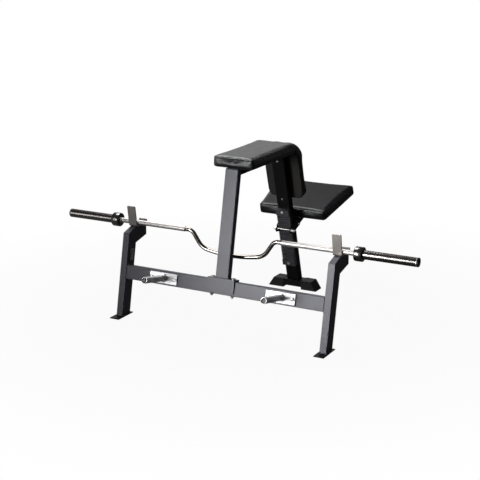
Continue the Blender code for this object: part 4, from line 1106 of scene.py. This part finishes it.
def cup_strip(name):
    """The strip in the middle plane, from the lip forwards and up to the guard's top."""
    low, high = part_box("left_bar_cup")
    back = high[1]
    outer = INNER_BEND + CUP_THICK
    lip_top = CUP_LOW + CUP_THICK + LIP
    clear(action="DESELECT")
    bpy.ops.mesh.primitive_plane_add(size=1.0, location=(0, back - CUP_THICK / 2, lip_top))
    strip = bpy.context.object
    strip.name = name
    bpy.ops.transform.resize(value=(CUP_WIDE, CUP_THICK, 1))
    apply_all()
    edit_all()
    extrude(0, 0, CUP_LOW + outer - lip_top)
    strip_bend(-pi / 2, (0, back - outer, CUP_LOW + outer))
    guard_bend = pi / 2 - GUARD_LEAN
    centre_y = low[1] + tan(GUARD_LEAN) * GUARD + outer * tan(guard_bend / 2)
    extrude(0, centre_y - (back - outer), 0)
    strip_bend(-guard_bend, (0, centre_y, CUP_LOW + outer))
    rise = high[2] - end_of(strip).z
    extrude(0, -tan(GUARD_LEAN) * rise, rise)
    bpy.ops.object.mode_set(mode="OBJECT")
    for vertex in strip.data.vertices:
        if vertex.co.z > high[2] - 0.003:
            vertex.co.z = high[2]
    finish_smooth(strip)
    corner_edges(strip, lambda a, b: abs(a.x - b.x) < 1e-5 and abs(a.y - b.y) > CUP_THICK * 0.8
                 and min(a.z, b.z) > lip_top + 0.05)
    bpy.ops.mesh.bevel(offset=STRIP_CORNER, segments=5)
    corner_edges(strip, lambda a, b: abs(a.x - b.x) < 1e-5 and abs(a.z - lip_top) < 1e-5
                 and abs(b.z - lip_top) < 1e-5)
    bpy.ops.mesh.bevel(offset=STRIP_CORNER, segments=5)
    bpy.ops.object.mode_set(mode="OBJECT")
    ease = strip.modifiers.new("ease", "BEVEL")
    ease.width = 0.0009
    ease.segments = 2
    ease.limit_method = "ANGLE"
    ease.angle_limit = radians(40)
    bpy.ops.object.modifier_apply(modifier="ease")
    finish_smooth(strip)
    return strip


cup_master = cup_strip("bar_cup")
for name in ("left", "right"):
    low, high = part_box(name + "_bar_cup")
    cup = copied(cup_master, name + "_bent_cup", Matrix.Translation(((low[0] + high[0]) / 2, 0, 0)))
    settle(cup, satin, "frame", name + "_bar_cup")
bpy.data.objects.remove(cup_master)
print("cup faces", len(cup.data.polygons))

# %% [markdown]
# ## Bare side plate
# A small stainless plate sits inside the left upright, held by a screw in each corner. It stays bare. The
# plate is a block with bevelled corners and edges; a screw is turned once and copied four times.

# %% Side plate and its screws
low, high = node_box("side_panel", front_turn)
PANEL_THICK = 0.002
SCREW_PLACES = [(y, z) for y in (-0.010, 0.010) for z in (-0.028, 0.028)]
clear(action="DESELECT")
middle = (low + high) / 2
bpy.ops.mesh.primitive_cube_add(size=1.0, location=(low.x + PANEL_THICK / 2, middle.y, middle.z))
panel = bpy.context.object
panel.name = "bare_side_plate"
bpy.ops.transform.resize(value=(PANEL_THICK, high.y - low.y, high.z - low.z))
apply_all()
corner_edges(panel, lambda a, b: abs(a.x - b.x) > PANEL_THICK / 2)
bpy.ops.mesh.bevel(offset=0.003, segments=4)
face_x = low.x + PANEL_THICK * 0.9
corner_edges(panel, lambda a, b: a.x > face_x and b.x > face_x)
bpy.ops.mesh.bevel(offset=0.0005, segments=2)
bpy.ops.object.mode_set(mode="OBJECT")
screw_master = lathe("screw", [(0.0, 0.0026), (0.0007, 0.0026), (0.0012, 0.0022), (0.0015, 0.0015),
                               (0.0016, 0.0009), (0.0009, 0.0008), (0.0009, 0.0003)], 20)
screws = []
for y, z in SCREW_PLACES:
    spot = (low.x + PANEL_THICK, middle.y + y, middle.z + z)
    screws.append(copied(screw_master, "panel_screw", aim(spot, (1, 0, 0))))
bpy.data.objects.remove(screw_master)
finish_smooth(panel)
for screw in screws:
    screw.data.materials.append(zinc)
panel.data.materials.append(satin)
panel = joined("bare_side_plate", [panel] + screws)
panel.data.transform(front_turn)
settle(panel, None, "frame", "side_panel")
print("side plate materials", [m.name for m in panel.data.materials])

# %% [markdown]
# ## Welds
# Wherever two tubes meet, a welder has laid a bead of overlapping puddles in the corner, and the powder
# coat covers it. A bead is a thin cord along the joint whose radius swells a little every 4 mm. It hides
# the hairline between the two tubes, as on the real frame.

# %% Weld beads
PUDDLE = 0.004
BEAD = 0.0024
WIDE_BEAD = 0.0026


def weld(name, corners, radius, finish, body):
    """A rippled bead along straight runs between corner points."""
    points = []
    for start, end in zip(corners, corners[1:]):
        steps = max(2, round((Vector(end) - Vector(start)).length / (PUDDLE / 2)))
        points += [Vector(start).lerp(Vector(end), step / steps) for step in range(steps)]
    points.append(Vector(corners[-1]))
    bead = bead_along(name, points, radius, swellings=(0.82, 1.0))
    finish_smooth(bead, radians(70))
    dress(bead, finish, body)


def loop(a, b, c, d):
    """Four corners as a closed run."""
    return [a, b, c, d, a]


# Cross beam to both uprights: down the front and back and along the top and bottom of the beam's end
low, high = node_box("cross_beam", front_turn)
for side, x in (("left", low.x), ("right", high.x)):
    ring = loop((x, low.y, low.z), (x, low.y, high.z), (x, high.y, high.z), (x, high.y, low.z))
    ring = [front_turn @ Vector(corner) for corner in ring]
    weld(side + "_beam_weld", ring, BEAD, slate, "frame")

# Foot plates to the uprights
for side in ("left", "right"):
    low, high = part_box(side + "_upright")
    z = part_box(side + "_foot_plate")[1][2] + 0.0004
    foot = [v.co.y for v in nodes[side + "_upright"].data.vertices if v.co.z < z + 0.002]
    front, back = min(foot), max(foot)
    ring = loop((low[0], front, z), (high[0], front, z), (high[0], back, z), (low[0], back, z))
    weld(side + "_foot_weld", ring, WIDE_BEAD, slate, "frame")

# Front post to its saddle
POST_DEPTH = 0.040
low, high = node_box("front_post", front_turn)
z = node_box("post_saddle", front_turn)[1].z + 0.0003
ring = loop((low.x, 0, z), (high.x, 0, z), (high.x, POST_DEPTH, z), (low.x, POST_DEPTH, z))
weld("post_foot_weld", [front_turn @ Vector(p) for p in ring], WIDE_BEAD, slate, "frame")

# Top rail to both posts: down one side, under the rail and up the other side
low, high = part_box("top_rail")
points = [v.co for v in nodes["top_rail"].data.vertices]
upper = high[2] - 0.001
for name, outermost in (("front", min), ("rear", max)):
    top_y = outermost(p.y for p in points if p.z > high[2] - 0.004)
    low_y = outermost(p.y for p in points if p.z < low[2] + 0.004)
    run = [(low[0], top_y, upper), (low[0], low_y, low[2]), (high[0], low_y, low[2]),
           (high[0], top_y, upper)]
    weld(name + "_rail_weld", run, BEAD, black, "frame")

# %% [markdown]
# ## Cross web of the seat carriage
# No light shows between the carriage's side plates. A short black web closes the space between them, just
# behind the post, so that none shows there either. It is cut from flat bar, with eased edges.

# %% Carriage web
WEB_THICK = 0.0055
WEB_BEHIND = 0.1015
WEB_LOW = 0.346
plate_low, _ = node_box("right_carriage_plate", rear_turn)
_, web_top = node_box("seat_mount_plate", rear_turn)
clear(action="DESELECT")
bpy.ops.mesh.primitive_plane_add(size=1.0)
web = bpy.context.object
web.name = "carriage_web"
wide = 2 * plate_low.x - 0.0002
tall = web_top.z - 0.0012 - WEB_LOW
edit_all()
bpy.ops.transform.resize(value=(wide, tall, 1.0))
extrude(0, 0, WEB_THICK)
bpy.ops.mesh.select_all(action="SELECT")
bpy.ops.mesh.normals_make_consistent(inside=False)
bpy.ops.mesh.bevel(offset=0.0010, segments=2)
bpy.ops.object.mode_set(mode="OBJECT")
stand = Matrix.Translation((0, WEB_BEHIND + WEB_THICK / 2, WEB_LOW + tall / 2))
web.data.transform(rear_turn @ stand @ Matrix.Rotation(pi / 2, 4, "X"))
finish_smooth(web, radians(40))
dress(web, black, "seat")
print("web", round(wide, 4), "by", round(tall, 4))
